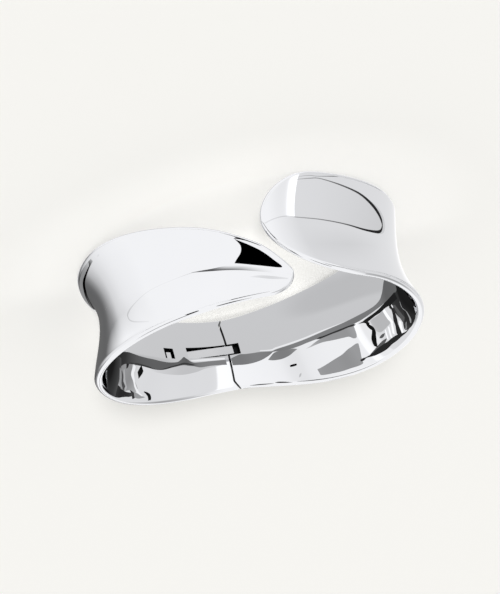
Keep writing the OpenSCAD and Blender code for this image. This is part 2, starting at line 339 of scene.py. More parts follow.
def solve(function, low, high):
    """Where a rising or falling function crosses zero between two values."""
    falling = function(low) > 0
    for _ in range(48):
        middle = (low + high) / 2
        if (function(middle) > 0) == falling:
            low = middle
        else:
            high = middle
    return (low + high) / 2


# The least size of anything, which keeps faces from closing up
WELD = 0.001 * MM
# The band's table runs through the seam without a break: angles on the rounded arm are negative
BAND_ROWS = [row._replace(angle=-row.angle) for row in reversed(ROUNDED_ROWS)] + POINTED_ROWS[1:]
# Its values are averaged with a soft weight that has this spread in degrees, at so many places
# for each spread, out to three spreads on either side
SMOOTH_SPREAD = 5
SMOOTH_STEPS = 4
SMOOTH_TAPS = range(-3 * SMOOTH_STEPS, 3 * SMOOTH_STEPS + 1)


def row_slope(column, index):
    """Slope of a column of the band's table at one of its rows."""
    def step(first):
        here, there = BAND_ROWS[first:first + 2]
        run = there.angle - here.angle
        return (getattr(there, column) - getattr(here, column)) / run, run

    if index == 0:
        return step(0)[0]
    if index == len(BAND_ROWS) - 1:
        return step(index - 1)[0]
    (before, run_before), (after, run_after) = step(index - 1), step(index)
    return (before * run_after + after * run_before) / (run_before + run_after)


def table_value(column, angle):
    """A column of the band's table at any angle in degrees, along a cubic curve."""
    first, last = BAND_ROWS[0], BAND_ROWS[-1]
    if angle <= first.angle:
        return getattr(first, column) + (angle - first.angle) * row_slope(column, 0)
    if angle >= last.angle:
        return getattr(last, column) + (angle - last.angle) * row_slope(column, len(BAND_ROWS) - 1)
    index = max(k for k, row in enumerate(BAND_ROWS[:-1]) if row.angle <= angle)
    here, there = BAND_ROWS[index], BAND_ROWS[index + 1]
    run = there.angle - here.angle
    u = (angle - here.angle) / run
    return ((2 * u**3 - 3 * u**2 + 1) * getattr(here, column)
            + (u**3 - 2 * u**2 + u) * run * row_slope(column, index)
            + (3 * u**2 - 2 * u**3) * getattr(there, column)
            + (u**3 - u**2) * run * row_slope(column, index + 1))


def smooth_value(arm, column, angle):
    """The table's value averaged over a few degrees, so that reflections run on smoothly."""
    weights = [math.exp(-0.5 * (tap / SMOOTH_STEPS)**2) for tap in SMOOTH_TAPS]
    values = [table_value(column, arm.side * angle + tap * SMOOTH_SPREAD / SMOOTH_STEPS)
              for tap in SMOOTH_TAPS]
    return sum(w * v for w, v in zip(weights, values)) / sum(weights) * MM


def closing(share, power):
    """How far a rim stands from the tip's height: 0 at the tip, 1 where the closing starts."""
    share = min(max(share, 0), 1)
    return (1 - (1 - share)**power)**(1 / power)


def rim_height(arm, column, angle):
    """Height of the top or bottom rim, closed to the tip at the free end."""
    tip_height = arm.tip.height * MM
    run = getattr(arm.tip, column + "_run")
    power = getattr(arm.tip, column + "_power")
    share = closing((arm.tip.angle - angle) / run, power)
    return tip_height + (smooth_value(arm, column, angle) - tip_height) * share


def oval_point(band, side, angle):
    """The rims' oval at an angle in degrees from the hinge."""
    a = math.radians(angle)
    return Vector((side * band.rim_width / 2 * math.sin(a), band.rim_depth / 2 * math.cos(a)))


def oval_out(band, side, angle):
    """The outward direction there."""
    a = math.radians(angle)
    return Vector((side * math.sin(a) / band.rim_width, math.cos(a) / band.rim_depth)).normalized()


def oval_step(band, angle):
    """Length of one degree of the oval."""
    a = math.radians(angle)
    return math.radians(math.hypot(band.rim_width * math.cos(a), band.rim_depth * math.sin(a)) / 2)


# Over how many degrees the slope of a rim is taken
RISE_STEP = 0.02


def rim_rise(band, arm, column, angle):
    """Rise of a rim for each unit along the oval."""
    low = min(angle, arm.tip.angle - RISE_STEP)
    high = min(angle + RISE_STEP, arm.tip.angle)
    rise = rim_height(arm, column, high) - rim_height(arm, column, low)
    return rise / ((high - low) * oval_step(band, angle))


def band_middle():
    """Height of the band's middle at the seam."""
    return (POINTED_ROWS[0].top + POINTED_ROWS[0].bottom) / 2 * MM


def waist_face(band, arm, angle):
    """A point of the wall's inner face at its waist."""
    inward = smooth_value(arm, "top_flare", angle) + band.wall / 2
    return oval_point(band, arm.side, angle) - oval_out(band, arm.side, angle) * inward


# A recess in the wall's inner face: the angles and heights between which it is cut, a point of its
# floor and the direction into the wall, and whether it starts at the seam
Recess = namedtuple("Recess", "start end low high floor into at_seam")
# Angles between which the window's sides lie, in degrees. No recess reaches past the second
WINDOW_FROM, RECESS_LIMIT = 10, 40


def tongue_frame(band, hinge):
    """Origin and directions of the sloping tongue: along it and out through the wall."""
    face_y = waist_face(band, ARMS["pointed"], 0).y + hinge.tongue_sunk
    along = Vector((math.cos(hinge.tongue_slope), -math.sin(hinge.tongue_slope)))
    out = Vector((math.sin(hinge.tongue_slope), math.cos(hinge.tongue_slope)))
    return Vector((0, face_y)), along, out


def window_frame(band, hinge):
    """Origin and directions of the peg window: round the band and out through the wall."""
    angle = math.degrees(hinge.window_angle)
    out = oval_out(band, 1, angle)
    return waist_face(band, ARMS["pointed"], angle), Vector((out.y, -out.x)), out


def angle_at(band, arm, origin, along, end, low):
    """The angle at which the wall's inner face has run this far from an origin in a direction."""
    return solve(lambda angle: (waist_face(band, arm, angle) - origin).dot(along) - end,
                 low, RECESS_LIMIT)


def tongue_slot(band, hinge, arm):
    """The part of the tongue's slot that lies in one arm."""
    origin, along, out = tongue_frame(band, hinge)
    if arm.side > 0:
        end = hinge.tongue_long + hinge.slot_end_gap
    else:
        end = -hinge.tongue_short - hinge.slot_free
    middle, half = band_middle(), hinge.slot_height / 2
    return Recess(None, angle_at(band, arm, origin, along, end, 0), middle - half, middle + half,
                  origin + out * (hinge.tongue_thick + hinge.tongue_gap), out, True)


def peg_window(band, hinge, arm):
    """The window in the pointed arm."""
    origin, along, out = window_frame(band, hinge)
    start, end = (angle_at(band, arm, origin, along, side * hinge.window_length / 2, WINDOW_FROM)
                  for side in (-1, 1))
    middle, half = band_middle() + hinge.window_up, hinge.window_height / 2
    return Recess(start, end, middle - half, middle + half,
                  origin + out * hinge.window_deep, out, False)


# Steps of the blank across the band: round each rim, from a rim to the cuts, and between the cuts
RIM_STEPS = 12
WALL_STEPS = 14
CUT_STEPS = 8
# The greatest part of a rim's room that its rounding takes, and the shares of the wall between the
# rims that the cuts leave free at least beside them, on the near side and on the other
RIM_LIMIT = 0.98
NEAR_FREE, FAR_FREE = 0.2, 0.5
# Shares of the band's width at which the two lines that bound the cuts run on round the band, and
# over how many degrees they move there from the last cut
LINE_SHARES = (0.4, 0.6)
LINE_RUN = 25
# Degrees from one section to the next along a cut, and the fewest sections there
SECTION_STEP = 0.5
FEWEST_SECTIONS = 4


def line_heights(arm, recesses, angle, low, high):
    """Heights of the mesh's two lines that run along the cuts, between rims at low and high."""
    last = [recess for recess in recesses if (recess.start or 0) <= angle][-1]
    later = [recess for recess in recesses if (recess.start or 0) > angle]
    held = (last.low, last.high)
    if angle <= last.end:
        return held
    if later:
        run, goal = later[0].start - last.end, (later[0].low, later[0].high)
    else:
        run, goal = LINE_RUN, [low + (high - low) * share for share in LINE_SHARES]
    share = ease((angle - last.end) / run)
    return [a + (b - a) * share for a, b in zip(held, goal)]


def places_across(band, half, middle, rises, lines, radius):
    """Places across the wall, from -1 at the bottom rim to 1 at the top rim."""
    ends = []
    for rise in rises:
        reach = half / math.sqrt(1 + rise * rise) / 2
        deep = min(radius, RIM_LIMIT * reach)
        turns = [math.pi / 2 * k / RIM_STEPS for k in range(RIM_STEPS + 1)]
        ends.append([math.sqrt(max(0, 1 - deep / reach * (1 - math.cos(turn)))) for turn in turns])
    bottom, top = [-place for place in ends[0]], ends[1][::-1]
    room = top[0] - bottom[-1]
    first, second = [(height - middle) / half for height in lines]
    first = min(max(first, bottom[-1] + NEAR_FREE * room), top[0] - FAR_FREE * room)
    second = max(min(second, top[0] - NEAR_FREE * room), bottom[-1] + FAR_FREE * room)
    return (bottom[:-1] + spaced(bottom[-1], first, WALL_STEPS) + spaced(first, second, CUT_STEPS)
            + spaced(second, top[0], WALL_STEPS) + top)


ACROSS_STEPS = 2 * RIM_STEPS + 2 * WALL_STEPS + CUT_STEPS
LINES = (RIM_STEPS + WALL_STEPS, RIM_STEPS + WALL_STEPS + CUT_STEPS)
RING = 2 * ACROSS_STEPS


def outer(section, place):
    """Index of a vertex on the wall's outer face."""
    return section * RING + place


def inner(section, place):
    """Index of a vertex on the wall's inner face."""
    return section * RING + (RING - place) % RING


def section_angles(band, arm, recesses):
    """Angles of the sections, with one at each end of each cut, closer together toward the tip."""
    start = band.seam_gap / 2 / oval_step(band, 0)
    stops = [start] + [stop for r in recesses for stop in (r.start, r.end) if stop]
    angles = []
    for low, high in zip(stops, stops[1:]):
        angles += spaced(low, high, max(FEWEST_SECTIONS, round((high - low) / SECTION_STEP)))
    turns = [math.pi / 2 * k / band.sections for k in range(band.sections)]
    return angles + [stops[-1] + (arm.tip.angle - stops[-1]) * math.sin(turn) for turn in turns]


BLANK_VALUES = ("angle", "across", "layer", "middle", "half", "rise", "full_middle", "full_half",
                "top_flare", "bottom_flare", "waist_drop")


def section_values(band, arm, angle):
    """What the node tree needs to know of one section."""
    top, bottom = rim_height(arm, "top", angle), rim_height(arm, "bottom", angle)
    full_top, full_bottom = smooth_value(arm, "top", angle), smooth_value(arm, "bottom", angle)
    return {
        "angle": math.radians(angle),
        "middle": (top + bottom) / 2,
        "half": max((top - bottom) / 2, WELD),
        "full_middle": (full_top + full_bottom) / 2,
        "full_half": (full_top - full_bottom) / 2,
        "top_flare": smooth_value(arm, "top_flare", angle),
        "bottom_flare": smooth_value(arm, "bottom_flare", angle),
        "waist_drop": smooth_value(arm, "waist_drop", angle) / MM,
    }


def end_radius(band, arm, angle):
    """Half the wall's thickness, thinner toward the free end."""
    share = ease(1 - (arm.tip.angle - angle) / math.degrees(band.end_run))
    return band.wall / 2 * (1 - (1 - band.end_share) * share)


def facing_out(arm, faces):
    """The faces of an arm, turned over on the rounded one, which is a mirror image."""
    return faces if arm.side > 0 else [face[::-1] for face in faces]


def add_attribute(mesh, name, values):
    """Gives each point of a mesh a number."""
    mesh.attributes.new(name, "FLOAT", "POINT").data.foreach_set("value", values)


def make_blank(band, arm, recesses):
    """The flat blank of an arm: two layers joined at the rims, with each vertex's place on it."""
    angles = section_angles(band, arm, recesses)
    rows, flat = [], []
    for angle in angles:
        values = section_values(band, arm, angle)
        rises = [rim_rise(band, arm, column, angle) for column in ("bottom", "top")]
        lines = line_heights(arm, recesses, angle, values["middle"] - values["half"],
                             values["middle"] + values["half"])
        places = places_across(band, values["half"], values["middle"], rises, lines,
                               end_radius(band, arm, angle))
        ring = [(place, 1) for place in places] + [(place, -1) for place in places[-2:0:-1]]
        for place, layer in ring:
            rise = rises[0] + (rises[1] - rises[0]) * ease((place + 1) / 2)
            rows.append(dict(values, across=place, layer=layer, rise=rise))
            flat.append((math.radians(angle) * band.rim_width / 2, 0,
                         values["middle"] + place * values["half"]))
    tip = section_values(band, arm, arm.tip.angle)
    rows.append(dict(tip, across=0, layer=0, rise=0))
    flat.append((math.radians(arm.tip.angle) * band.rim_width / 2, 0, tip["middle"]))

    cut = set()
    for recess in recesses:
        first, last = recess_sections(angles, recess)
        cut |= {(i, k) for i in range(first, last) for k in range(*LINES)}
    faces = []
    for i in range(len(angles) - 1):
        for k in range(ACROSS_STEPS):
            faces.append((outer(i, k), outer(i, k + 1), outer(i + 1, k + 1), outer(i + 1, k)))
            if (i, k) not in cut:
                faces.append((inner(i, k), inner(i + 1, k), inner(i + 1, k + 1), inner(i, k + 1)))
    end = len(angles) - 1
    faces += [(end * RING + k, end * RING + (k + 1) % RING, len(flat) - 1) for k in range(RING)]
    walls = len(faces)
    faces += [seam_face(k) for k in range(ACROSS_STEPS)
              if k not in range(LINES[0] - 1, LINES[1] + 1)]

    mesh = bpy.data.meshes.new(arm.name + "_blank")
    mesh.from_pydata(flat, [], facing_out(arm, faces))
    for name in BLANK_VALUES:
        add_attribute(mesh, name, [row[name] for row in rows])
    recessed = mesh.attributes.new("recessed", "BOOLEAN", "FACE")
    recessed.data.foreach_set("value", [k >= walls for k in range(len(faces))])
    uv = mesh.uv_layers.new(name="band")
    for loop in mesh.loops:
        x, _, z = flat[loop.vertex_index]
        uv.data[loop.index].uv = (x, z)
    return mesh, angles


# The place among a wall's materials of the recess silver, whose near-black colour is painted shade
RECESS_SLOT = 1


def seam_face(place):
    """The strip of the arm's end at the seam from one place across the wall to the next."""
    corners = (outer(0, place), inner(0, place), inner(0, place + 1), outer(0, place + 1))
    return tuple(dict.fromkeys(corners))


def recess_sections(angles, recess):
    """The first and last section of a recess."""
    def nearest(angle):
        return min(range(len(angles)), key=lambda k: abs(angles[k] - angle))
    return (0 if recess.at_seam else nearest(recess.start)), nearest(recess.end)


def cut_recess(bm, arm, angles, recess):
    """Walls and floor of a recess, where the blank's inner layer has a hole."""
    first, last = recess_sections(angles, recess)
    low, high = LINES
    out = Vector((recess.into.x, recess.into.y, 0))
    floor_point = Vector((recess.floor.x, recess.floor.y, 0))
    verts = list(bm.verts)
    floor = {}
    for i in range(first, last + 1):
        into = Vector((0, 1, 0)) if recess.at_seam and i == first else out
        for k in range(low, high + 1):
            place = verts[inner(i, k)].co
            deep = (floor_point - place).dot(out) / into.dot(out)
            floor[i, k] = bm.verts.new(place + into * deep)

    def wall(i, k, j, m):
        return (verts[inner(i, k)], verts[inner(j, m)], floor[j, m], floor[i, k])

    faces = [(floor[i, k], floor[i + 1, k], floor[i + 1, k + 1], floor[i, k + 1])
             for i in range(first, last) for k in range(low, high)]
    faces += [wall(i, low, i + 1, low)[::-1] for i in range(first, last)]
    faces += [wall(i, high, i + 1, high) for i in range(first, last)]
    faces += [wall(last, k, last, k + 1)[::-1] for k in range(low, high)]
    if recess.at_seam:
        faces += [(verts[outer(0, k)], floor[0, k], floor[0, k + 1], verts[outer(0, k + 1)])
                  for k in range(low, high)]
        beside = [verts[n] for n in (outer(0, low - 1), inner(0, low - 1), inner(0, low))]
        faces.append((*beside, floor[0, low], verts[outer(0, low)]))
        beside = [verts[n] for n in (inner(0, high), inner(0, high + 1), outer(0, high + 1))]
        faces.append((verts[outer(0, high)], floor[0, high], *beside))
    else:
        faces += [wall(first, k, first, k + 1) for k in range(low, high)]
    for face in facing_out(arm, faces):
        bm.faces.new(face).material_index = RECESS_SLOT


# Edges sharper than this are rounded
SHARP_EDGE = math.radians(40)
# Scale, detail and roughness of the silver's broad clouds of tone, its waves and its streaks, which
# run round the band, so that they are short across it and long round it
CLOUDS = ((70, 70, 70), 3, 0.5)
WAVES = ((160, 160, 160), 1, 0.4)
STREAKS = ((250, 250, 2500), 4, 0.6)
# How far under the axis a web meets its barrel, as a share of the barrel's radius
WEB_FOOT = 0.6
# Steps round a knuckle's barrel and round the pin
BARREL_STEPS = 40
PIN_SIDES = 48


def feed(tree, node, inputs):
    """Sets a node's inputs: linked from a node, a Value or a socket, or else to a plain value."""
    for name, value in inputs.items():
        if isinstance(value, bpy.types.Node):
            value = value.outputs[0]
        elif isinstance(value, Value):
            value = value.socket
        if isinstance(value, bpy.types.NodeSocket):
            tree.links.new(value, node.inputs[name])
        else:
            node.inputs[name].default_value = value


def add_node(tree, kind, inputs=None, **settings):
    """A new node with these settings and inputs."""
    node = tree.nodes.new(kind)
    for name, value in settings.items():
        setattr(node, name, value)
    feed(tree, node, inputs or {})
    return node


class Value:
    """A number in a node tree. Arithmetic on it adds Math nodes to the tree."""

    def __init__(self, tree, socket):
        self.tree = tree
        self.socket = socket

    def math(self, operation, *others):
        inputs = dict(enumerate((self, *others)))
        node = add_node(self.tree, "ShaderNodeMath", inputs, operation=operation)
        return Value(self.tree, node.outputs[0])

    def __add__(self, other):
        return self.math("ADD", other)

    def __sub__(self, other):
        return self.math("SUBTRACT", other)

    def __rsub__(self, other):
        return self.math("MULTIPLY", -1).math("ADD", other)

    def __mul__(self, other):
        return self.math("MULTIPLY", other)

    def __truediv__(self, other):
        return self.math("DIVIDE", other)

    def __pow__(self, other):
        return self.math("POWER", other)

    __radd__ = __add__
    __rmul__ = __mul__

    def clamp(self):
        return self.math("MAXIMUM", 0).math("MINIMUM", 1)

    def ease(self):
        share = self.clamp()
        return share * share * (3 - 2 * share)


def new_tree(name, inputs):
    """A geometry tree with a geometry, numbers and a material as inputs, and its input node."""
    tree = bpy.data.node_groups.new(name, "GeometryNodeTree")
    kinds = [("Geometry", "Geometry", None), *inputs, ("Material", "Material", None)]
    for label, kind, subtype in kinds:
        socket = tree.interface.new_socket(label, in_out="INPUT", socket_type="NodeSocket" + kind)
        if subtype:
            socket.subtype = subtype
    tree.interface.new_socket("Geometry", in_out="OUTPUT", socket_type="NodeSocketGeometry")
    return tree, tree.nodes.new("NodeGroupInput")


def finish_tree(tree, entry, geometry):
    """Ends a tree: real geometry with its material."""
    realize = add_node(tree, "GeometryNodeRealizeInstances", {"Geometry": geometry})
    material = add_node(tree, "GeometryNodeSetMaterial",
                        {"Geometry": realize, "Material": entry.outputs["Material"]})
    add_node(tree, "NodeGroupOutput", {"Geometry": material})
    return tree


def saddle_tree():
    """Bends a flat blank round the oval and flares it out to both rims."""
    tree, entry = new_tree("saddle_band", (
        ("Side", "Float", None), ("Half Width", "Float", "DISTANCE"),
        ("Half Depth", "Float", "DISTANCE"), ("Rim Radius", "Float", "DISTANCE"),
        ("End Share", "Float", "FACTOR"), ("End Run", "Float", "ANGLE"),
        ("Tip Angle", "Float", "ANGLE"), ("Flare Power", "Float", None),
        ("Seam Veer", "Float", "ANGLE"), ("Veer From", "Float", "FACTOR"),
        ("Veer Run", "Float", "ANGLE")))

    def given(name):
        return Value(tree, entry.outputs[name])

    def attribute(name):
        node = add_node(tree, "GeometryNodeInputNamedAttribute", {"Name": name}, data_type="FLOAT")
        return Value(tree, node.outputs["Attribute"])

    side, power = given("Side"), given("Flare Power")
    angle, across, half = attribute("angle"), attribute("across"), attribute("half")
    top_flare, bottom_flare = attribute("top_flare"), attribute("bottom_flare")

    # near the seam the rims' stretch of each section runs aside
    veer_from = given("Veer From")
    near_rim = ((across.math("ABSOLUTE") - veer_from) / (1 - veer_from)).clamp()
    near_seam = (1 - angle / given("Veer Run")).ease()
    turned = angle - side * given("Seam Veer") * near_rim * near_seam

    # the rims' oval and its outward direction
    sine, cosine = side * turned.math("SINE"), turned.math("COSINE")
    x, y = sine * given("Half Width"), cosine * given("Half Depth")
    out_x, out_y = sine / given("Half Width"), cosine / given("Half Depth")
    length = (out_x * out_x + out_y * out_y).math("SQRT")

    # the flare across the band, measured from the waist, and its slope
    height = attribute("middle") + across * half
    full_half = attribute("full_half")
    place = (height - attribute("full_middle")) / full_half
    share = ((place + 1) / 2).clamp()
    spread = top_flare - bottom_flare
    flare = bottom_flare + spread * share.ease()
    waist_drop = attribute("waist_drop")
    from_waist = place + waist_drop * (1 - place * place)
    size = from_waist.math("ABSOLUTE")
    lift = size ** power
    along_waist = from_waist.math("SIGN") * (1 - 2 * waist_drop * place)
    slope = (flare * power * size ** (power - 1) * along_waist
             + 3 * spread * share * (1 - share) * lift) / full_half
    level = (slope * slope + 1).math("INVERSE_SQRT")

    # half the thickness, with a full round at the rims
    thinning = (1 - (given("Tip Angle") - angle) / given("End Run")).ease()
    radius = given("Rim Radius") * (1 - (1 - given("End Share")) * thinning)
    rise = attribute("rise")
    edge = (1 - across * across) * half / 2 * (rise * rise + 1).math("INVERSE_SQRT")
    fill = (edge / radius).clamp()
    push = attribute("layer") * radius * (fill * (2 - fill)).math("SQRT") * level

    reach = flare * lift - top_flare + push
    spot = add_node(tree, "ShaderNodeCombineXYZ", {
        "X": x + out_x / length * reach, "Y": y + out_y / length * reach,
        "Z": height - push * slope})
    moved = add_node(tree, "GeometryNodeSetPosition",
                     {"Geometry": entry.outputs["Geometry"], "Position": spot})
    return finish_tree(tree, entry, moved)


def stack_tree():
    """Raises an outline to a knuckle and repeats it up the hinge axis, about the middle."""
    tree, entry = new_tree("knuckle_stack", (
        ("Count", "Int", None), ("Height", "Float", "DISTANCE"), ("Pitch", "Float", "DISTANCE")))
    outline, height, pitch = (entry.outputs[name] for name in ("Geometry", "Height", "Pitch"))
    up = add_node(tree, "ShaderNodeCombineXYZ", {"Z": 1})
    raised = add_node(tree, "GeometryNodeExtrudeMesh", {
        "Mesh": outline, "Offset": up, "Offset Scale": height, "Individual": False}, mode="FACES")
    # the outline itself is the lower end, turned over to face down
    flipped = add_node(tree, "GeometryNodeFlipFaces", {"Mesh": outline})
    joined = add_node(tree, "GeometryNodeJoinGeometry", {"Geometry": raised})
    feed(tree, joined, {"Geometry": flipped})
    welded = add_node(tree, "GeometryNodeMergeByDistance", {"Geometry": joined, "Distance": WELD})

    count = Value(tree, entry.outputs["Count"])
    low = (count - 1) * Value(tree, pitch) * -0.5 - Value(tree, height) * 0.5
    line = add_node(tree, "GeometryNodeMeshLine", {
        "Count": count,
        "Start Location": add_node(tree, "ShaderNodeCombineXYZ", {"Z": low}),
        "Offset": add_node(tree, "ShaderNodeCombineXYZ", {"Z": pitch})}, mode="OFFSET")
    placed = add_node(tree, "GeometryNodeInstanceOnPoints", {"Points": line, "Instance": welded})
    return finish_tree(tree, entry, placed)


def grown(name, mesh, tree, values):
    """The mesh that a node tree makes of a mesh, with its inputs set."""
    helper = bpy.data.objects.new(name + "_helper", mesh)
    bpy.context.scene.collection.objects.link(helper)
    modifier = helper.modifiers.new(tree.name, "NODES")
    modifier.node_group = tree
    for socket in tree.interface.items_tree:
        if socket.in_out == "INPUT" and socket.name in values:
            modifier[socket.identifier] = values[socket.name]
    evaluated = helper.evaluated_get(bpy.context.evaluated_depsgraph_get())
    made = bpy.data.meshes.new_from_object(evaluated)
    bpy.data.objects.remove(helper)
    made.name = name
    return made


def hinge_axis(band, hinge):
    """The middle of the hinge axis in the oval's own frame."""
    return Vector((0, band.rim_depth / 2 + hinge.axis_out, band_middle()))


def lay_down(mesh):
    """Turns a mesh from the oval's own frame to the way the bangle lies, axis on axis."""
    axis = hinge_axis(bpy.context.scene.bangle_band, bpy.context.scene.bangle_hinge)
    shift = Vector(HINGE["pos_m"]) - LEAN @ axis
    mesh.transform(Matrix.Translation(shift) @ LEAN.to_4x4())


def round_edges(piece, width, segments=2):
    """Rounds a piece's sharp edges and leaves its faces' shading flat up to them."""
    bevel = piece.modifiers.new("round_edges", "BEVEL")
    bevel.width = width
    bevel.segments = segments
    bevel.limit_method = "ANGLE"
    bevel.angle_limit = SHARP_EDGE
    bevel.harden_normals = True
    bevel.use_clamp_overlap = True
    return bevel


def add_piece(name, mesh, node, body):
    """A finished piece of the object, on the CAD body that it moves with."""
    for polygon in mesh.polygons:
        polygon.use_smooth = True
    piece = bpy.data.objects.new(name, mesh)
    bpy.context.scene.collection.objects.link(piece)
    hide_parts(node)
    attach(piece, body)
    return piece


def noise(tree, place, scale, detail, roughness):
    """Noise at a place on the piece, its size along each direction the inverse of the scale."""
    stretched = add_node(tree, "ShaderNodeMapping", {"Vector": place, "Scale": scale})
    node = add_node(tree, "ShaderNodeTexNoise", {
        "Vector": stretched, "Scale": 1, "Detail": detail, "Roughness": roughness})
    return Value(tree, node.outputs[0])


def silver(name, colour, deep, rough_low, rough_high, wave, streaks):
    """Silver whose tone, polish and surface vary a little.

    The tone runs from colour to deep in broad clouds, the roughness between two values in streaks
    along the band, and the surface has waves and fine polishing streaks of these heights."""
    material = bpy.data.materials.get(name)
    if material:
        return material
    material = bpy.data.materials.new(name)
    material.use_nodes = True
    tree = material.node_tree
    place = add_node(tree, "ShaderNodeTexCoord").outputs["Object"]
    clouds = noise(tree, place, *CLOUDS)
    tone = add_node(tree, "ShaderNodeMix", data_type="RGBA")
    # noise keeps round a half, so clouds and streaks are spread out from 0 to 1
    feed(tree, tone, {"Factor": (clouds * 2 - 0.5).clamp(), "A": (*colour, 1), "B": (*deep, 1)})
    rubbed = noise(tree, place, *STREAKS)
    waves = noise(tree, place, *WAVES)
    broad = add_node(tree, "ShaderNodeBump", {"Strength": 1, "Distance": wave, "Height": waves})
    fine = add_node(tree, "ShaderNodeBump",
                    {"Strength": 1, "Distance": streaks, "Height": rubbed, "Normal": broad})
    feed(tree, tree.nodes["Principled BSDF"], {
        "Metallic": 1, "Base Color": tone.outputs["Result"], "Normal": fine,
        "Roughness": (rubbed * 2 - 0.5).clamp() * (rough_high - rough_low) + rough_low})
    return material


def mirror_silver():
    """The arms' mirror polish."""
    finish = bpy.context.scene.bangle_finish
    return silver("mirror_silver", finish.silver, finish.silver_deep, rough_low=finish.roughness,
                  rough_high=finish.roughness * 3, wave=finish.wave, streaks=0)


def recess_painted_shade_silver():
    """Silver in the slots, the seam and their rounded edges, near black: painted shade."""
    finish = bpy.context.scene.bangle_finish
    dark = tuple(channel * 0.6 for channel in finish.recess)
    return silver("recess_painted_shade_silver", finish.recess, dark, rough_low=0.25, rough_high=0.5, wave=0,
                  streaks=0.002 * MM)


def spring_silver():
    """The harder silver of the spring tongue, the peg and the pin, with a fine grain."""
    finish = bpy.context.scene.bangle_finish
    return silver("spring_grain_silver", finish.spring, finish.silver_deep, rough_low=0.04,
                  rough_high=0.12, wave=0, streaks=0.0005 * MM)


class BANGLE_OT_arm(bpy.types.Operator):
    """Adds the wall of one arm: its blank, bent and cut for the tongue and the peg"""

    bl_idname = "bangle.arm"
    bl_label = "Arm"

    arm: StringProperty(name="Arm", description="Which arm", default="pointed")

    def execute(self, context):
        band, hinge = context.scene.bangle_band, context.scene.bangle_hinge
        arm = ARMS[self.arm]
        recesses = [tongue_slot(band, hinge, arm)]
        if arm.window:
            recesses.append(peg_window(band, hinge, arm))
        blank, angles = make_blank(band, arm, recesses)
        tree = bpy.data.node_groups.get("saddle_band") or saddle_tree()
        mesh = grown(arm.name + "_wall", blank, tree, {
            "Side": float(arm.side),
            "Half Width": band.rim_width / 2,
            "Half Depth": band.rim_depth / 2,
            "Rim Radius": band.wall / 2,
            "End Share": band.end_share,
            "End Run": band.end_run,
            "Tip Angle": math.radians(arm.tip.angle),
            "Flare Power": band.flare_power,
            "Seam Veer": band.seam_veer,
            "Veer From": band.veer_from,
            "Veer Run": band.veer_run,
            "Material": mirror_silver(),
        })
        bm = bmesh.new()
        bm.from_mesh(mesh)
        bm.verts.ensure_lookup_table()
        recessed = bm.faces.layers.bool["recessed"]
        # the seam's faces take the recess silver, whose near-black colour is painted shade
        for face in bm.faces:
            face.material_index = int(face[recessed])
        for recess in recesses:
            cut_recess(bm, arm, angles, recess)
        bmesh.ops.delete(bm, geom=[v for v in bm.verts if not v.link_faces], context="VERTS")
        bm.to_mesh(mesh)
        bm.free()
        for name in (*BLANK_VALUES, "recessed"):
            mesh.attributes.remove(mesh.attributes[name])
        mesh.materials.append(recess_painted_shade_silver())
        lay_down(mesh)
        wall = add_piece(arm.name + "_wall", mesh, arm.node, arm.body)
        # the rounded edges at the seam and the cuts also take the recess silver's painted shade
        round_edges(wall, band.edge_round).material = RECESS_SLOT
        return {"FINISHED"}


def knuckle_outline(band, hinge, side):
    """Flat ring round the bore: a barrel with a web that runs down into the arm's wall."""
    inner_face = waist_face(band, ARMS["pointed"], 0).y
    wall_top = inner_face + band.wall - hinge_axis(band, hinge).y
    foot = wall_top - 2 * hinge.web_sunk
    corner = Vector((side * hinge.web_length, wall_top - hinge.web_sunk))
    # where the web's upper face leaves the barrel
    lean = math.atan2(corner.y, side * corner.x)
    touch = lean + math.acos(hinge.knuckle_radius / corner.length)
    low = math.atan2(-WEB_FOOT * hinge.knuckle_radius, hinge.web_root)
    web = [(corner.x, corner.y), (corner.x, foot), (side * hinge.web_root, foot),
           (side * hinge.web_root, math.sin(low) * hinge.knuckle_radius)]
    barrel = []
    for turn in spaced(touch, 2 * math.pi + low, BARREL_STEPS) + [2 * math.pi + low]:
        barrel.append((side * math.cos(turn) * hinge.knuckle_radius,
                       math.sin(turn) * hinge.knuckle_radius))
    outline = barrel + web[::-1]
    bore = hinge.pin_radius + hinge.pin_play
    ring = [(x * bore / math.hypot(x, y), y * bore / math.hypot(x, y)) for x, y in outline]
    return outline, ring


class BANGLE_OT_knuckles(bpy.types.Operator):
    """Adds the knuckles of one arm, stacked on the hinge axis"""

    bl_idname = "bangle.knuckles"
    bl_label = "Knuckles"

    arm: StringProperty(name="Arm", description="Which arm", default="pointed")

    def execute(self, context):
        band, hinge = context.scene.bangle_band, context.scene.bangle_hinge
        arm = ARMS[self.arm]
        outline, ring = knuckle_outline(band, hinge, arm.side)
        count = len(outline)
        mesh = bpy.data.meshes.new(arm.name + "_knuckle_outline")
        faces = [(k, (k + 1) % count, count + (k + 1) % count, count + k) for k in range(count)]
        mesh.from_pydata([(x, y, 0) for x, y in outline + ring], [], facing_out(arm, faces))
        tree = bpy.data.node_groups.get("knuckle_stack") or stack_tree()
        made = grown(arm.name + "_knuckles", mesh, tree, {
            "Count": 2 if arm.side > 0 else 1,
            "Height": hinge.knuckle_height,
            "Pitch": 2 * (hinge.knuckle_height + hinge.knuckle_gap),
            "Material": mirror_silver(),
        })
        made.transform(Matrix.Translation(hinge_axis(band, hinge)))
        lay_down(made)
        piece = add_piece(arm.name + "_knuckles", made, arm.node, arm.body)
        round_edges(piece, hinge.piece_round)
        return {"FINISHED"}


def shaped(name, make, place, **sizes):
    """A mesh that one bmesh operator makes, put in its place by a matrix."""
    bm = bmesh.new()
    make(bm, **sizes)
    bm.transform(place)
    mesh = bpy.data.meshes.new(name)
    bm.to_mesh(mesh)
    bm.free()
    return mesh


def block(name, low, high):
    """A box between two corners."""
    size, middle = Vector(high) - Vector(low), (Vector(high) + Vector(low)) / 2
    place = Matrix.Translation(middle) @ Matrix.Diagonal((*size, 1))
    return shaped(name, bmesh.ops.create_cube, place, size=1)


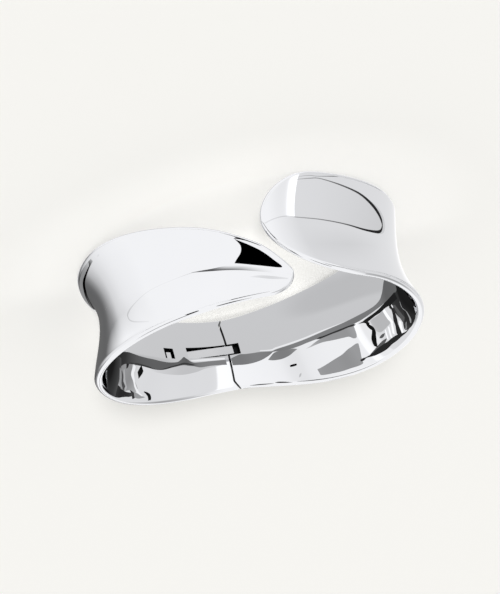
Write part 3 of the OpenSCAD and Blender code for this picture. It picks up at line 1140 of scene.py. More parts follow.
def stand(origin, along, out, height):
    """A frame on the wall's inner face: X along the band, Y out through the wall, Z up."""
    return Matrix(((along.x, out.x, 0, origin.x), (along.y, out.y, 0, origin.y),
                   (0, 0, 1, height), (0, 0, 0, 1)))


def add_spring_piece(mesh, node, steps):
    """A finished piece of spring silver, which moves with the pointed arm."""
    lay_down(mesh)
    mesh.materials.append(spring_silver())
    piece = add_piece(mesh.name, mesh, node, ARMS["pointed"].body)
    round_edges(piece, bpy.context.scene.bangle_hinge.piece_round, steps)


class BANGLE_OT_tongue(bpy.types.Operator):
    """Adds the spring tongue that lies in the slot across the seam"""

    bl_idname = "bangle.tongue"
    bl_label = "Spring tongue"

    def execute(self, context):
        band, hinge = context.scene.bangle_band, context.scene.bangle_hinge
        half = hinge.tongue_height / 2
        mesh = block("spring_tongue", (-hinge.tongue_short, 0, -half),
                     (hinge.tongue_long, hinge.tongue_thick, half))
        mesh.transform(stand(*tongue_frame(band, hinge), 0))
        mesh.transform(Matrix.Rotation(-hinge.tongue_turn, 4, "Y"))
        mesh.transform(Matrix.Translation((0, 0, band_middle())))
        add_spring_piece(mesh, "hinge_tongue", 4)
        return {"FINISHED"}


class BANGLE_OT_peg(bpy.types.Operator):
    """Adds the peg in its window"""

    bl_idname = "bangle.peg"
    bl_label = "Peg"

    def execute(self, context):
        band, hinge = context.scene.bangle_band, context.scene.bangle_hinge
        half, deep, top = hinge.peg_width / 2, hinge.window_deep, hinge.window_height / 2
        mesh = block("window_peg", (-half, deep - hinge.peg_tall, top - hinge.peg_length),
                     (half, deep, top))
        mesh.transform(stand(*window_frame(band, hinge), band_middle() + hinge.window_up))
        add_spring_piece(mesh, "spring_peg", 3)
        return {"FINISHED"}


class BANGLE_OT_pin(bpy.types.Operator):
    """Adds the pin through the knuckles"""

    bl_idname = "bangle.pin"
    bl_label = "Hinge pin"

    def execute(self, context):
        band, hinge = context.scene.bangle_band, context.scene.bangle_hinge
        mesh = shaped("hinge_rod", bmesh.ops.create_cone,
                      Matrix.Translation(hinge_axis(band, hinge)), cap_ends=True,
                      segments=PIN_SIDES, radius1=hinge.pin_radius, radius2=hinge.pin_radius,
                      depth=3 * hinge.knuckle_height + 2 * hinge.knuckle_gap)
        add_spring_piece(mesh, "hinge_pin", 3)
        return {"FINISHED"}


# Painted reflections: the studio that the silver mirrors is made of glowing cards on a round
# surround. They show in reflections alone and light nothing, and their sheets and lines paint the
# light and shade that the silver mirrors. A direction is an azimuth in degrees from the opening's
# side round toward the pointed arm, and an elevation above the floor. A card has one tone and
# covers what lies behind it with its strength, from 0 to 1
Card = namedtuple("Card", "name tone rows")
# The black flag in front: azimuth and elevation of its one edge, then of the other
FRONT_FLAG = [
    (5, -23.5, 14, -23.5), (-8, -21.3, 14, -21.5), (-1, -14, 14, -14), (7, -8, 16, -8),
    (14, -5, 19, -4.5), (21, -3, 21, -3),
]
# Sheets of shade and light. A row holds an azimuth, then elevation and strength at two or more
# heights, and the strength runs evenly from each of them to the next
SHEETS = [
    Card("front_wedge", 0.1, [
        (-8, -30, 0, -26, 0), (0, -30, 0.25, -25, 0), (9, -30, 0.75, -25, 0),
        (17, -30.2, 1, -26, 0), (25, -30.4, 1, -28.2, 0.9), (33, -30, 0.9, -29, 0.8),
        (38, -29.7, 0.4, -29.3, 0.3),
    ]),
    Card("side_shade", 0.1, [
        (76, 8, 0, -32, 0, -42, 0, -60, 0), (86, 8, 0.02, -32, 0.04, -42, 0.06, -62, 0),
        (96, 8, 0.04, -32, 0.07, -42, 0.09, -62, 0),
        (105, 7.5, 0.08, -32, 0.11, -42, 0.15, -60, 0),
        (112, 6, 0.13, -32, 0.17, -42, 0.22, -58, 0),
        (118, 4.5, 0.19, -32, 0.24, -42, 0.26, -56, 0),
        (124, 3, 0.26, -32, 0.31, -42, 0.36, -54, 0),
        (130, 1.2, 0.38, -32, 0.48, -42, 0.57, -53, 0),
        (137, -1.5, 0.54, -32, 0.66, -42, 0.77, -53, 0),
        (142, -3.6, 0.73, -32, 0.78, -42, 0.83, -53, 0),
        (150, -6.7, 0.9, -32, 0.92, -42, 0.92, -54, 0),
        (158, -10.7, 0.95, -32, 0.95, -42, 0.95, -55, 0),
        (168, -16, 0.96, -32, 0.95, -42, 0.95, -56, 0),
        (180, -22, 0.97, -32, 0.95, -42, 0.95, -57, 0),
        (195, -28, 0.9, -32, 0.9, -42, 0.9, -58, 0),
    ]),
    Card("lip_shade", 0.32, [
        (118, 4.5, 0, 14, 0), (126, 2.8, 0.6, 14, 0.4), (136, -0.4, 0.9, 14, 0.8),
        (150, -6.2, 1, 12, 0.9), (165, -14.5, 1, 8, 0.9), (180, -21.5, 1, 4, 0.9),
        (195, -28, 1, 0, 0.9),
    ]),
    Card("low_shade", 0.6, [
        (-36, -26, 0, -31, 0, -38, 0), (-52, -26.5, 0, -33, 0.16, -40, 0),
        (-72, -26.5, 0, -33, 0.22, -41, 0), (-92, -26.5, 0, -31, 0.12, -39, 0),
        (-110, -26, 0, -29, 0, -34, 0),
    ]),
    Card("white_strip", 1.6, [
        (-30, -24, 0, -4, 0), (-34, -24, 0.2, -4, 0.2), (-35.6, -24, 0.8, -4, 0.8),
        (-39.1, -24, 1, -4, 1), (-39.4, -24, 0, -4, 0),
    ]),
    Card("upper_shade", 0.3, [
        (-152, 30, 0, 40, 0, 52, 0), (-135, 30, 0.1, 40, 0.5, 54, 0.3),
        (-110, 30, 0.3, 40, 0.8, 54, 0.4), (-85, 30, 0.25, 40, 0.6, 50, 0.2),
        (-60, 30, 0, 38, 0, 44, 0),
    ]),
    Card("front_shade", 0.45, [
        (-37, 13, 0, 18, 0.1), (-31, 13, 0.3, 24, 0.8), (-24, 13, 0.4, 28, 1),
        (-16, 13, 0.1, 33, 0.8), (-9, 14, 0, 36, 0),
    ]),
    Card("grey_card", 0.65, [
        (-40, -24, 0, -10.5, 0), (-55, -24, 0.05, -8, 0.05), (-78, -24.5, 0.2, -9.5, 0.2),
        (-99, -24.5, 0.4, -14.2, 0.4), (-112, -23, 0.5, -18, 0.5), (-116, -21, 0.5, -20.5, 0.5),
    ]),
]
# Lines on the surround: azimuth, elevation, width in degrees and strength
ROUND_LINES = [
    Card("card_border", 0.03, [
        (-39, -11, 0.3, 0.2), (-46, -9, 0.4, 0.5), (-53, -7.7, 0.4, 0.6), (-67, -8, 0.6, 0.85),
        (-81, -10, 0.8, 0.95), (-95, -14, 1.1, 1), (-107, -18, 1.3, 1), (-111, -20.4, 1.4, 1),
        (-108, -22.6, 1.3, 1), (-100, -24, 1.1, 1), (-87, -25, 0.8, 1), (-70, -24.5, 0.5, 0.8),
        (-53, -24, 0.4, 0.6), (-42, -24, 0.35, 0.45), (-32, -24.2, 0.3, 0.2), (-14, -28, 0.3, 0.1),
    ]),
    Card("floor_line", 0.3, [
        (36, -29.3, 0.5, 0.4), (52, -32.5, 0.4, 0.08), (75, -36, 0.5, 0.12),
        (92, -39.8, 0.8, 0.18), (106, -43, 1.2, 0.3), (110.5, -45.5, 1.4, 0.35),
        (108, -50, 1.2, 0.25), (92, -58, 1, 0.1),
    ]),
    Card("lip_line", 0.0, [
        (106, 5.6, 0.5, 0), (112, 5.4, 0.6, 0.22), (117, 4.9, 0.6, 0.42), (121, 4.05, 0.7, 0.6),
        (124, 3.2, 0.8, 0.75), (127, 2.4, 0.9, 0.95), (131, 1.2, 1.2, 1), (138, -1.3, 1.6, 1),
        (144, -3.5, 1.9, 1), (150, -5.9, 2.2, 1), (158, -10, 2.4, 1), (164, -13.4, 2.5, 1),
        (169, -16, 2.5, 0.95), (180, -22, 2.5, 0.8), (190, -27, 2, 0.6),
    ]),
    Card("free_rim_line", 0.02, [
        (40, 7, 6, 0), (41, 12, 9, 1), (42, 25, 9, 1), (48, 38, 9, 1), (72, 48, 9, 0.8),
        (107, 51, 8, 0.6), (122, 50, 4, 0),
    ]),
    Card("low_rim_line", 0.03, [
        (25, 48, 8, 0), (24, 55, 16, 1), (24, 66, 26, 1), (23, 77, 44, 1), (22, 83, 40, 0),
    ]),
    Card("back_dark", 0.05, [
        (-122, -4, 2, 0.7), (-108, 0, 2.5, 0.8), (-99, 3.2, 3.5, 0.8), (-93.5, 5.2, 4, 1),
    ]),
    Card("back_stripe", 0.02, [
        (-84, 6, 1.6, 1), (-82, 9, 2.2, 1), (-80, 12, 1.6, 0.6),
    ]),
    Card("front_streak", 0.02, [
        (-62, 16, 3, 0.6), (-50, 17.5, 3.5, 0.9), (-38, 21, 4.5, 1), (-26, 27.5, 5, 1),
        (-17, 33.5, 3.5, 1), (-7, 37, 2, 0.7),
    ]),
    Card("back_dash", 0.02, [
        (-166, 7, 2, 1), (-169, 17, 3, 1),
    ]),
    Card("tip_spot", 0.5, [
        (3, -37, 0.5, 0), (-3, -36, 3, 0.3), (-10, -36, 4, 0.35), (-18, -35, 2, 0.2),
    ]),
]
# Painted reflections: glowing lines close round the bangle, at this distance from its middle, which
# only the hollow mirrors: azimuth, height in millimetres, width and strength
NEAR_RADIUS = 62 * MM
NEAR_LINES = [
    Card("rim_dark", 0.02, [
        (47, 11, 1, 0), (55, 10.5, 2, 1), (64, 10, 2.5, 1), (73, 9.5, 1.5, 0),
    ]),
]
# Painted reflections of light and shade on the inner wall: glowing lines along the inside of the
# wall, which only it mirrors: angle from the hinge, height and width in millimetres
INNER_LINES = [
    Card("end_line", 0.02, [
        (-88, 16.2, 1.6), (-84, 16, 1.5), (-80, 15.8, 1.3), (-76, 15.55, 1), (-72, 15.5, 0.9),
        (-68, 15.3, 0.7), (-64, 15.2, 0.8), (-61.5, 15.2, 0.9), (-60, 15, 0.35), (-57, 14.65, 0),
    ]),
    Card("waist_line", 0.05, [
        (-56.2, 14.5, 0), (-55, 14.35, 0.4), (-52, 14, 0.35), (-48, 13.75, 0.4), (-44, 13.5, 0.35),
        (-40, 13.35, 0.35), (-38, 13.25, 0.4), (-36.5, 13.2, 0),
    ]),
    Card("bend_line", 0.01, [
        (-62.2, 15.4, 2.2), (-61.8, 16.1, 1.4), (-62.2, 16.8, 1.3), (-63.2, 17.7, 1.4),
        (-62, 18.6, 1.4), (-61, 19.2, 1.6), (-60, 19.8, 1.7), (-59.3, 20.5, 1.6), (-58.7, 21.1, 1),
    ]),
    Card("side_line", 0.03, [
        (-79.5, 16.3, 1.6), (-80.2, 17.2, 1.3), (-79.8, 18.2, 1.4), (-78.5, 19.1, 1.4),
        (-76.5, 20, 1.4), (-75, 21, 1.3), (-73, 22, 1.5), (-71.5, 22.6, 1.2),
    ]),
    Card("top_line", 0.03, [
        (-79, 23.2, 0.2), (-75, 23.35, 0.3), (-71.5, 22.8, 1), (-68, 22.6, 1.3), (-65, 22.5, 1.2),
        (-62, 22.5, 1.5), (-59, 22.4, 1.4), (-56, 22.35, 0.9), (-54, 22.2, 0.5), (-52, 22, 0.25),
        (-50.5, 22, 0.6), (-49.2, 22, 0.4),
    ]),
    Card("top_grey", 0.14, [
        (-65.5, 21.2, 0.2), (-63, 21.4, 0.8), (-60, 21.6, 0.8), (-57, 21.8, 0.5), (-54, 21.9, 0),
    ]),
    Card("blotch", 0.14, [
        (-67, 20, 0), (-65.5, 20.1, 0.6), (-64, 20.15, 0.6), (-62.8, 20.1, 0),
    ]),
    Card("dash", 0.01, [
        (-25, 16.65, 0.35), (-24.3, 16.65, 0.5), (-23, 16.6, 0.5), (-22.2, 16.6, 0.35),
    ]),
    Card("low_dash", 0.01, [
        (-14.2, 20.1, 0.5), (-15.2, 20.7, 2.4), (-17, 21.8, 3), (-18.6, 23, 0.6),
    ]),
    Card("fleck", 0.7, [
        (-25.3, 18.9, 0), (-24.5, 19.3, 0.5), (-23.6, 19.8, 0),
    ]),
    Card("white_end", 1.4, [
        (-78.8, 20.6, 0.6), (-76, 21.6, 0.8), (-73.2, 22.8, 0.8),
    ]),
    Card("white_spot", 1.3, [
        (-81.2, 16.7, 0.8), (-81.3, 17.4, 0.6),
    ]),
    Card("end_fleck", 0.45, [
        (-90.8, 18.4, 0.2), (-89.4, 19.5, 0.35), (-89.8, 20.6, 0.3), (-89.5, 21.2, 0.4),
        (-87.7, 22.2, 0.5), (-86.3, 22.6, 0.4), (-85, 22.9, 0.2),
    ]),
    Card("end_loop", 0.3, [
        (-84, 22, 0.15), (-82.5, 22.2, 0.3), (-80.7, 22.7, 0.35), (-79.6, 22.6, 0.2),
    ]),
    Card("end_grey", 0.13, [
        (-82.8, 17.2, 1.6), (-82.3, 19, 2), (-80.8, 21, 2), (-79, 22, 1),
    ]),
    Card("white_strip_end", 1.4, [
        (-74.5, 16, 1.8), (-74.6, 17.5, 2), (-74.6, 18.8, 1.8), (-74, 19.5, 0.6),
    ]),
    Card("white_streak_a", 1.4, [
        (-74, 19.5, 0.6), (-72, 20.5, 0.7), (-70, 21.5, 0.6),
    ]),
    Card("white_streak_b", 1.4, [
        (-71, 19.5, 0.5), (-69, 20.8, 0.6), (-67.5, 21.8, 0.5),
    ]),
    Card("white_streak_c", 1.4, [
        (-68.3, 19.5, 0.4), (-67, 20.5, 0.5), (-65.6, 21.6, 0.4),
    ]),
    Card("left_line", 0.06, [
        (14, 11.9, 0), (16, 11.7, 0.35), (19, 11.4, 0.4), (22, 11.8, 0.35), (25, 12.2, 0.35),
        (28, 12.7, 0.3), (30.5, 13, 0.2), (34, 13.1, 0.15), (37, 12.9, 0.35), (40, 12.8, 0.4),
        (44, 12.8, 0.35), (47, 13, 0.3), (50, 13.2, 0.3),
    ]),
    Card("left_mark", 0.01, [
        (31.6, 20.9, 0.9), (32.2, 20.2, 0.9), (33.4, 19.4, 0.8), (35, 18.9, 0.5),
        (36.6, 18.65, 0.2),
    ]),
    Card("left_mark_b", 0.05, [
        (38.8, 20.6, 0.5), (40, 20, 0.5), (41.2, 19.4, 0.5), (43.2, 18.9, 0.1),
    ]),
    Card("left_mark_c", 0.1, [
        (42.5, 20.3, 0.6), (44.5, 19.8, 0.6), (46, 19.2, 0.3),
    ]),
    Card("left_dash", 0.01, [
        (42.7, 15.3, 2.2), (42.1, 14.6, 2.3), (41.4, 13.9, 2.3), (41, 13.4, 2),
    ]),
    Card("left_dot", 0.03, [
        (51.2, 14.2, 1.2), (50.8, 13.8, 1.8), (50.8, 13.5, 1.6),
    ]),
    Card("left_streak_a", 0.1, [
        (56.2, 15.6, 0.3), (55.1, 16.7, 0.9), (54.5, 17.8, 1), (52.4, 18.8, 1.1),
    ]),
    Card("left_streak_b", 0.42, [
        (57.6, 15.2, 0.5), (56.6, 16.8, 1), (55.8, 17.9, 1), (54, 18.9, 0.8),
    ]),
    Card("left_streak_c", 0.6, [
        (54.6, 15.2, 0.7), (53.8, 16.5, 0.8), (53.1, 17.7, 1.2), (51.2, 18.8, 0.9),
    ]),
    Card("left_white", 1.2, [
        (36, 19.7, 0.2), (39, 19, 0.4), (42, 17.8, 0.5), (44, 16.6, 0.6), (45.6, 15.6, 1.1),
        (46.2, 14.9, 1.8), (46.2, 14.1, 1.9), (46, 13.3, 1.6),
    ]),
    Card("left_soft", 0.45, [
        (34.5, 19.9, 0), (37, 20, 0.9), (40, 19.6, 0.9), (42, 19.2, 0.4),
    ]),
    Card("under_light", 1.15, [
        (-52, 12.5, 0), (-40, 11.95, 0.3), (-30, 11.85, 0.4), (-20, 11.7, 0.4), (-17.5, 11.8, 0.3),
        (-13, 11.2, 0.2),
    ]),
    Card("under_light_left", 1.15, [
        (1.5, 11.2, 0.4), (8, 10.95, 0.5), (14, 10.85, 0.4), (16.5, 10.8, 0),
    ]),
]
# Painted reflections in strips there too: angle from the hinge, lower and upper height in
# millimetres, and tone
INNER_STRIPS = {
    "dark_end": [
        (-99, 17.5, 18.5, 0.03), (-94, 15, 21, 0.03), (-89, 15.5, 20, 0.04), (-87, 15.5, 20, 0.04),
        (-85, 15.8, 21, 0.04), (-83, 16, 22, 0.05), (-81, 16.2, 22.7, 0.05), (-80, 16.3, 23, 0.06),
    ],
    "grey_end": [
        (-73.6, 16.2, 18.8, 0.66), (-73, 16, 19.2, 0.66), (-70, 15.9, 19.3, 0.66),
        (-66, 15.7, 19.3, 0.66), (-64.5, 15.7, 19, 0.7), (-63.6, 15.7, 18.2, 0.75),
    ],
    "grey_high": [
        (-52.8, 18.3, 18.4, 0.45), (-51.8, 18.1, 19.8, 0.45), (-50, 18.15, 21.8, 0.45),
        (-49.3, 18.2, 22.8, 0.45), (-47, 18.3, 22.85, 0.42), (-44, 18.7, 22.5, 0.4),
        (-40, 18.9, 22.2, 0.42), (-36, 19.2, 21.7, 0.42), (-33, 19.4, 21.3, 0.44),
        (-31.7, 19.4, 21, 0.46),
    ],
    "grey_low": [
        (-54.8, 14.3, 14.6, 0.55), (-54.4, 14.3, 16.2, 0.5), (-53.5, 14.2, 17, 0.48),
        (-52, 14, 16.8, 0.45), (-50.5, 13.95, 16, 0.42), (-48, 13.8, 15.6, 0.42),
        (-45, 13.6, 15.2, 0.42), (-42, 13.5, 14.8, 0.42), (-39, 13.4, 14.4, 0.44),
        (-36, 13.6, 14.25, 0.5), (-33, 14, 14.25, 0.7), (-31, 14.15, 14.2, 0.9),
    ],
    "lens_right": [
        (-27.5, 13.5, 13.55, 0.4), (-26, 13.1, 13.8, 0.34), (-24, 12.9, 14.2, 0.3),
        (-22, 12.7, 14.4, 0.29), (-20, 12.5, 14.45, 0.29), (-18, 12.6, 14.3, 0.3),
        (-16.5, 13.1, 14.1, 0.32), (-15, 13.7, 13.75, 0.35),
    ],
    "lens_middle": [
        (-18, 12.2, 12.25, 0.25), (-16, 11.9, 12.8, 0.28), (-13, 11.5, 13.3, 0.3),
        (-10, 11.3, 13.5, 0.3), (-7, 11.1, 13.5, 0.28), (-5, 10.9, 13.4, 0.27),
        (-3, 11.1, 13.2, 0.27), (-1, 11.4, 13.05, 0.27),
    ],
    "waist_left": [
        (1.2, 11.5, 12.7, 0.3), (4, 11.4, 12.5, 0.3), (8, 11.3, 12.4, 0.3), (12, 11.3, 12.5, 0.28),
        (15, 11.2, 12.1, 0.2), (17.5, 10.2, 11.9, 0.15), (18.5, 9.8, 11.8, 0.16),
        (20, 10.4, 11.8, 0.17), (22, 11, 12, 0.17), (26, 11.15, 12.5, 0.16), (30, 11, 13, 0.16),
        (34, 10.8, 13.1, 0.16), (38, 10.8, 12.9, 0.15), (44, 10.8, 13.1, 0.13),
        (48, 10.8, 13.3, 0.1), (51, 10.9, 13.6, 0.07), (53, 11.1, 14, 0.05),
        (56, 11.5, 15.3, 0.04), (60, 12, 15.5, 0.03), (64, 12, 14, 0.03),
    ],
    "soft_left": [
        (3, 12.3, 12.6, 0.95), (10, 12.3, 12.9, 0.8), (14, 12, 13.5, 0.76), (20, 11.7, 14, 0.76),
        (26, 12.4, 14, 0.82), (32, 13, 13.8, 0.88), (36, 13, 13.5, 0.97),
    ],
    "end_left": [
        (56.8, 13, 23, 0.1), (57.8, 13, 23, 0.08), (58.8, 13, 23.2, 0.06), (60.2, 13, 23.3, 0.045),
        (61.5, 13.2, 23.3, 0.03), (63, 13.5, 23.3, 0.015), (68, 13.5, 23.2, 0.015),
        (75, 17.5, 19.5, 0.015),
    ],
    "end_left_high": [
        (47, 19.2, 19.8, 0.1), (48.5, 19.2, 20.1, 0.05), (50.5, 19.3, 20.3, 0.035),
        (53, 19.2, 20.7, 0.03), (54.2, 18.9, 21.6, 0.03), (55.2, 18.8, 22.4, 0.035),
        (57.2, 18.6, 23, 0.05),
    ],
    "end_right": [
        (-110, 16.5, 18, 0.015), (-103, 13.6, 21, 0.015), (-96.3, 13, 21.6, 0.015),
        (-94.1, 13, 22.3, 0.015), (-92, 17.5, 22.8, 0.02), (-90, 19.2, 23.2, 0.03),
        (-87, 20.7, 23.4, 0.03), (-84, 21.4, 23.5, 0.04), (-82, 21.5, 23.4, 0.06),
        (-80.4, 22, 23.2, 0.06), (-79.2, 22.5, 22.9, 0.08),
    ],
    "grey_left": [
        (40, 18.2, 19.3, 0.6), (43, 16.8, 18.9, 0.48), (46, 15.4, 19.4, 0.38),
        (48, 13.2, 18.4, 0.38), (50, 13.2, 17.4, 0.4), (52, 13.2, 16.2, 0.4), (54, 14, 15.2, 0.35),
    ],
    "waist_right": [
        (-99, 11, 12, 0.15), (-94, 7, 15.8, 0.15), (-89, 6, 15.8, 0.17), (-82, 6, 15.8, 0.17),
        (-80.4, 8.4, 15.5, 0.17), (-79.5, 10.4, 15.4, 0.17), (-78, 12.1, 15.2, 0.19),
        (-76, 13, 14.9, 0.22), (-74, 13.45, 14.8, 0.25), (-70, 13.55, 14.6, 0.26),
        (-65, 13.3, 14.4, 0.26), (-60, 13, 14.3, 0.26), (-55, 12.75, 14.1, 0.26),
        (-50, 12.55, 13.8, 0.28), (-45, 12.3, 13.45, 0.29), (-40, 12.15, 13.25, 0.29),
        (-33, 12.1, 13.05, 0.3), (-28, 12.05, 13.05, 0.3), (-24, 12, 12.9, 0.28),
        (-20, 11.95, 12.5, 0.26), (-17.5, 12.1, 12.3, 0.26),
    ],
    "wall_light": [
        (-89, 15.3, 22, 0.2), (-81, 15, 24, 0.5), (-79, 14.9, 25, 0.95), (-76, 14.7, 25.5, 1),
        (-64, 14, 26, 0.98), (-62.5, 13.9, 26, 1.15), (-58.5, 13.8, 26, 1.15),
        (-57, 13.7, 26, 1.35), (-54.5, 13.6, 26, 1.4), (-53.5, 13.5, 26, 1.2),
        (-50, 13.3, 25.5, 1.2), (-40, 12.8, 24.5, 1.2), (-30, 12.6, 23, 1.15),
        (-26, 12.4, 22.5, 1.07), (-22, 12.3, 21.8, 1.1), (-18, 12.2, 21, 1.2),
        (-10, 12.2, 20, 1.25), (-1, 12, 20, 1.28), (0, 12, 20, 1.38), (5.5, 12, 20, 1.38),
        (6.2, 12, 20, 1.03), (15, 11.7, 20.3, 1), (25, 12, 21, 1), (35, 12.4, 21.5, 0.97),
        (43, 12.5, 22, 0.95), (48, 12.7, 22, 0.6), (53, 13, 22, 0.2), (57, 13, 22, 0.05),
        (64, 13.5, 20, 0.03),
    ],
}
# The cards that lean outward with the wall at the hollow's two ends
LEANING = {"end_left", "end_left_high", "left_streak_a", "left_streak_b", "left_streak_c",
           "end_right", "end_fleck", "end_loop"}
# They lean from this height, in millimetres, by these shares of the oval for each millimetre
LEAN_FROM = 13
LEAN_POINTED, LEAN_ROUNDED = 0.011, 0.003
# Where the cards in the hollow stand, as a share of the rims' oval, and how much farther in each
# one stands than the one before
INNER_SHARE = 0.87
INNER_STEP = 0.00015
# They follow the wall: farther out by a share of the oval at the rounded arm's end, past an angle
# and over a run, and farther in along the pointed arm, over a run from the hinge
ROUNDED_OUT, ROUNDED_FROM, ROUNDED_RUN = 0.012, 63, 18
POINTED_IN, POINTED_RUN = 0.025, 35
# How much nearer each card on the surround stands than the one before, in metres
FAR_STEP = 0.02
# Steps from one row of a card to the next, and across it
ALONG = 12
OVER = 6
# The strongest tone of a card that holds its own tones
LIGHTEST = 1.5


def direction(azimuth, elevation):
    """The unit vector of a direction in degrees."""
    a, e = math.radians(azimuth), math.radians(elevation)
    return Vector((math.sin(a) * math.cos(e), -math.cos(a) * math.cos(e), math.sin(e)))


def cubic(a, b, c, d, t):
    """A smooth way from b to c, which comes from a and goes on to d."""
    return b + 0.5 * t * (c - a + t * (2 * a - 5 * b + 4 * c - d + t * (3 * (b - c) + d - a)))


def smooth_rows(rows):
    """Rows of numbers with smooth steps between them."""
    made = []
    for k in range(len(rows) - 1):
        around = [rows[min(max(k + n, 0), len(rows) - 1)] for n in (-1, 0, 1, 2)]
        for t in spaced(0, 1, ALONG):
            made.append([cubic(*values, t) for values in zip(*around)])
    return made + [list(rows[-1])]


def line_rows(stops):
    """The two edges of a line, from its middle, width and strength."""
    rows = smooth_rows(stops)
    edges = []
    for before, here, after in zip(rows[:1] + rows, rows, rows[1:] + rows[-1:]):
        way = Vector((after[0] - before[0], after[1] - before[1])).normalized()
        azimuth, elevation, width, strength = here
        x, y = -way.y * width / 2, way.x * width / 2
        edges.append((azimuth - x, elevation - y, strength, azimuth + x, elevation + y, strength))
    return edges


def sheet_bands(sheet):
    """The cards of a sheet: one from each of its heights to the next."""
    bands = []
    for k in range(1, len(sheet.rows[0]) - 2, 2):
        rows = [(row[0], *row[k:k + 2], row[0], *row[k + 2:k + 4]) for row in sheet.rows]
        bands.append(Card(f"{sheet.name}_{k // 2 + 1}", sheet.tone, smooth_rows(rows)))
    return bands


def far_cards():
    """The cards on the surround, the farthest first."""
    flag = [(a, e, 1, b, f, 1) for a, e, b, f in FRONT_FLAG]
    cards = [Card("front_flag", 0.0, smooth_rows(flag))]
    for sheet in SHEETS:
        cards += sheet_bands(sheet)
    return cards + [line._replace(rows=line_rows(line.rows)) for line in ROUND_LINES]


def inner_cards():
    """The cards in the hollow, which are painted reflections, the leaning ones first."""
    cards = [line._replace(rows=line_rows([(*mark, 1) for mark in line.rows]))
             for line in INNER_LINES]
    for name, strips in INNER_STRIPS.items():
        rows = [(angle, low, tone, angle, high, tone) for angle, low, high, tone in strips]
        cards.append(Card(name, None, smooth_rows(rows)))
    return sorted(cards, key=lambda card: card.name not in LEANING)


def near_place(azimuth, height):
    """A place close round the bangle."""
    turn = math.radians(azimuth)
    return Vector((math.sin(turn) * NEAR_RADIUS, -math.cos(turn) * NEAR_RADIUS, height * MM))


def inner_place(band, angle, height, depth, leans):
    """A place in the hollow close to the wall's inside, at an angle from the hinge and a height."""
    share = INNER_SHARE - INNER_STEP * depth
    share += ROUNDED_OUT * ease((-angle - ROUNDED_FROM) / ROUNDED_RUN)
    share -= POINTED_IN * ease(angle / POINTED_RUN)
    if leans:
        share += max(height - LEAN_FROM, 0) * (LEAN_POINTED if angle > 0 else LEAN_ROUNDED)
    spot = oval_point(band, 1, angle) * share
    return Vector((spot.x, spot.y, height * MM))


def emission_tree(material):
    """The node tree of a material that only shines, with its shader taken out."""
    material.use_nodes = True
    tree = material.node_tree
    tree.nodes.remove(tree.nodes["Principled BSDF"])
    return tree


def glow(name, tone=None, one_sided=False):
    """A material that shines evenly, as strong as the mesh's own strength attribute says.

    Without a tone, the mesh's tone attribute gives it. A one-sided one is clear from behind."""
    material = bpy.data.materials.new(name)
    tree = emission_tree(material)
    strength = add_node(tree, "ShaderNodeAttribute", attribute_name="strength")
    if tone is None:
        colour = add_node(tree, "ShaderNodeAttribute", attribute_name="tone").outputs["Fac"]
    else:
        colour = (tone, tone, tone, 1)
    factor = Value(tree, strength.outputs["Fac"])
    if one_sided:
        behind = add_node(tree, "ShaderNodeNewGeometry").outputs["Backfacing"]
        factor = factor * (1 - Value(tree, behind))
    mix = add_node(tree, "ShaderNodeMixShader", {
        0: factor, 1: add_node(tree, "ShaderNodeBsdfTransparent"),
        2: add_node(tree, "ShaderNodeEmission", {"Color": colour})})
    feed(tree, tree.nodes["Material Output"], {"Surface": mix})
    return material


def add_stage(name, mesh, mirrored=False):
    """A piece of the stage. A mirrored one shows in reflections alone."""
    thing = bpy.data.objects.new(name, mesh)
    bpy.context.scene.collection.objects.link(thing)
    if mirrored:
        for ray in ("camera", "diffuse", "transmission", "volume_scatter", "shadow"):
            setattr(thing, "visible_" + ray, False)
    return thing


def add_glowing(name, points, faces, strengths, tones, material):
    """A shining piece of the stage, with its strength and tone at each point."""
    mesh = bpy.data.meshes.new(name)
    mesh.from_pydata(points, [], faces)
    add_attribute(mesh, "strength", strengths)
    if tones:
        add_attribute(mesh, "tone", tones)
    mesh.materials.append(material)
    add_stage(name, mesh, mirrored=True)


def add_card(card, place, one_sided=False):
    """A card between its two edges. Without a tone, the edges' last values give it."""
    points, values, faces = [], [], []
    for row in card.rows:
        for share in spaced(0, 1, OVER) + [1]:
            azimuth, elevation, value = (a + (b - a) * share for a, b in zip(row[:3], row[3:]))
            points.append(place(azimuth, elevation))
            values.append(min(max(value, 0), LIGHTEST if card.tone is None else 1))
    for i in range(len(card.rows) - 1):
        for k in range(OVER):
            a = i * (OVER + 1) + k
            faces.append((a, a + 1, a + OVER + 2, a + OVER + 1))
    own = card.tone is None
    add_glowing(card.name, points, faces, [1.0] * len(points) if own else values,
                values if own else None, glow(card.name, card.tone, one_sided))


# Height of the bangle's middle over the floor
CAD_MIDDLE = (CAD_BOX[0][2] + CAD_BOX[1][2]) / 2
# Half the floor's width and its thickness, in metres
FLOOR_REACH, FLOOR_THICK = 3, 0.02
# The floor's glow is painted light, in halves of the rims' oval. The outer glow lifts the shade
# round the bangle and fades out over a run, up to an end. On the hinge's side, which begins over a
# run, it is stronger behind the hinge and ends beside it, so the shade beside the bangle's ends
# stays deeper
GLOW_END, GLOW_RUN = 1.7, 0.6
BESIDE_END, BESIDE_RUN = 1.1, 0.6
BEHIND_GLOW, BEHIND_RUN = 1.3, 0.4
# The inner glow is painted light that lifts the shade inside the bangle. It ends at the wall, a
# little sooner toward the sides. It starts from its least in front of the middle and grows over a
# run
INSIDE_END, INSIDE_SIDE, INSIDE_RUN = 1.06, 0.08, 0.1
LEAST_GLOW, LEAST_FRONT, LEAST_RUN = 0.1, 0.4, 0.5
# The hollow's floor as the inner wall mirrors it: height, rings and steps round of its mesh, its
# tone, and a soft darker spot: its place and half lengths in millimetres, and its turn and tone
HOLLOW_HEIGHT = 0.2 * MM
HOLLOW_RINGS, HOLLOW_STEPS = 40, 120
HOLLOW_TONE = 0.8
SPOT_X, SPOT_Y, SPOT_LONG, SPOT_SHORT = -20, 12, 14, 8
SPOT_TURN, SPOT_TONE = math.radians(60), 0.7


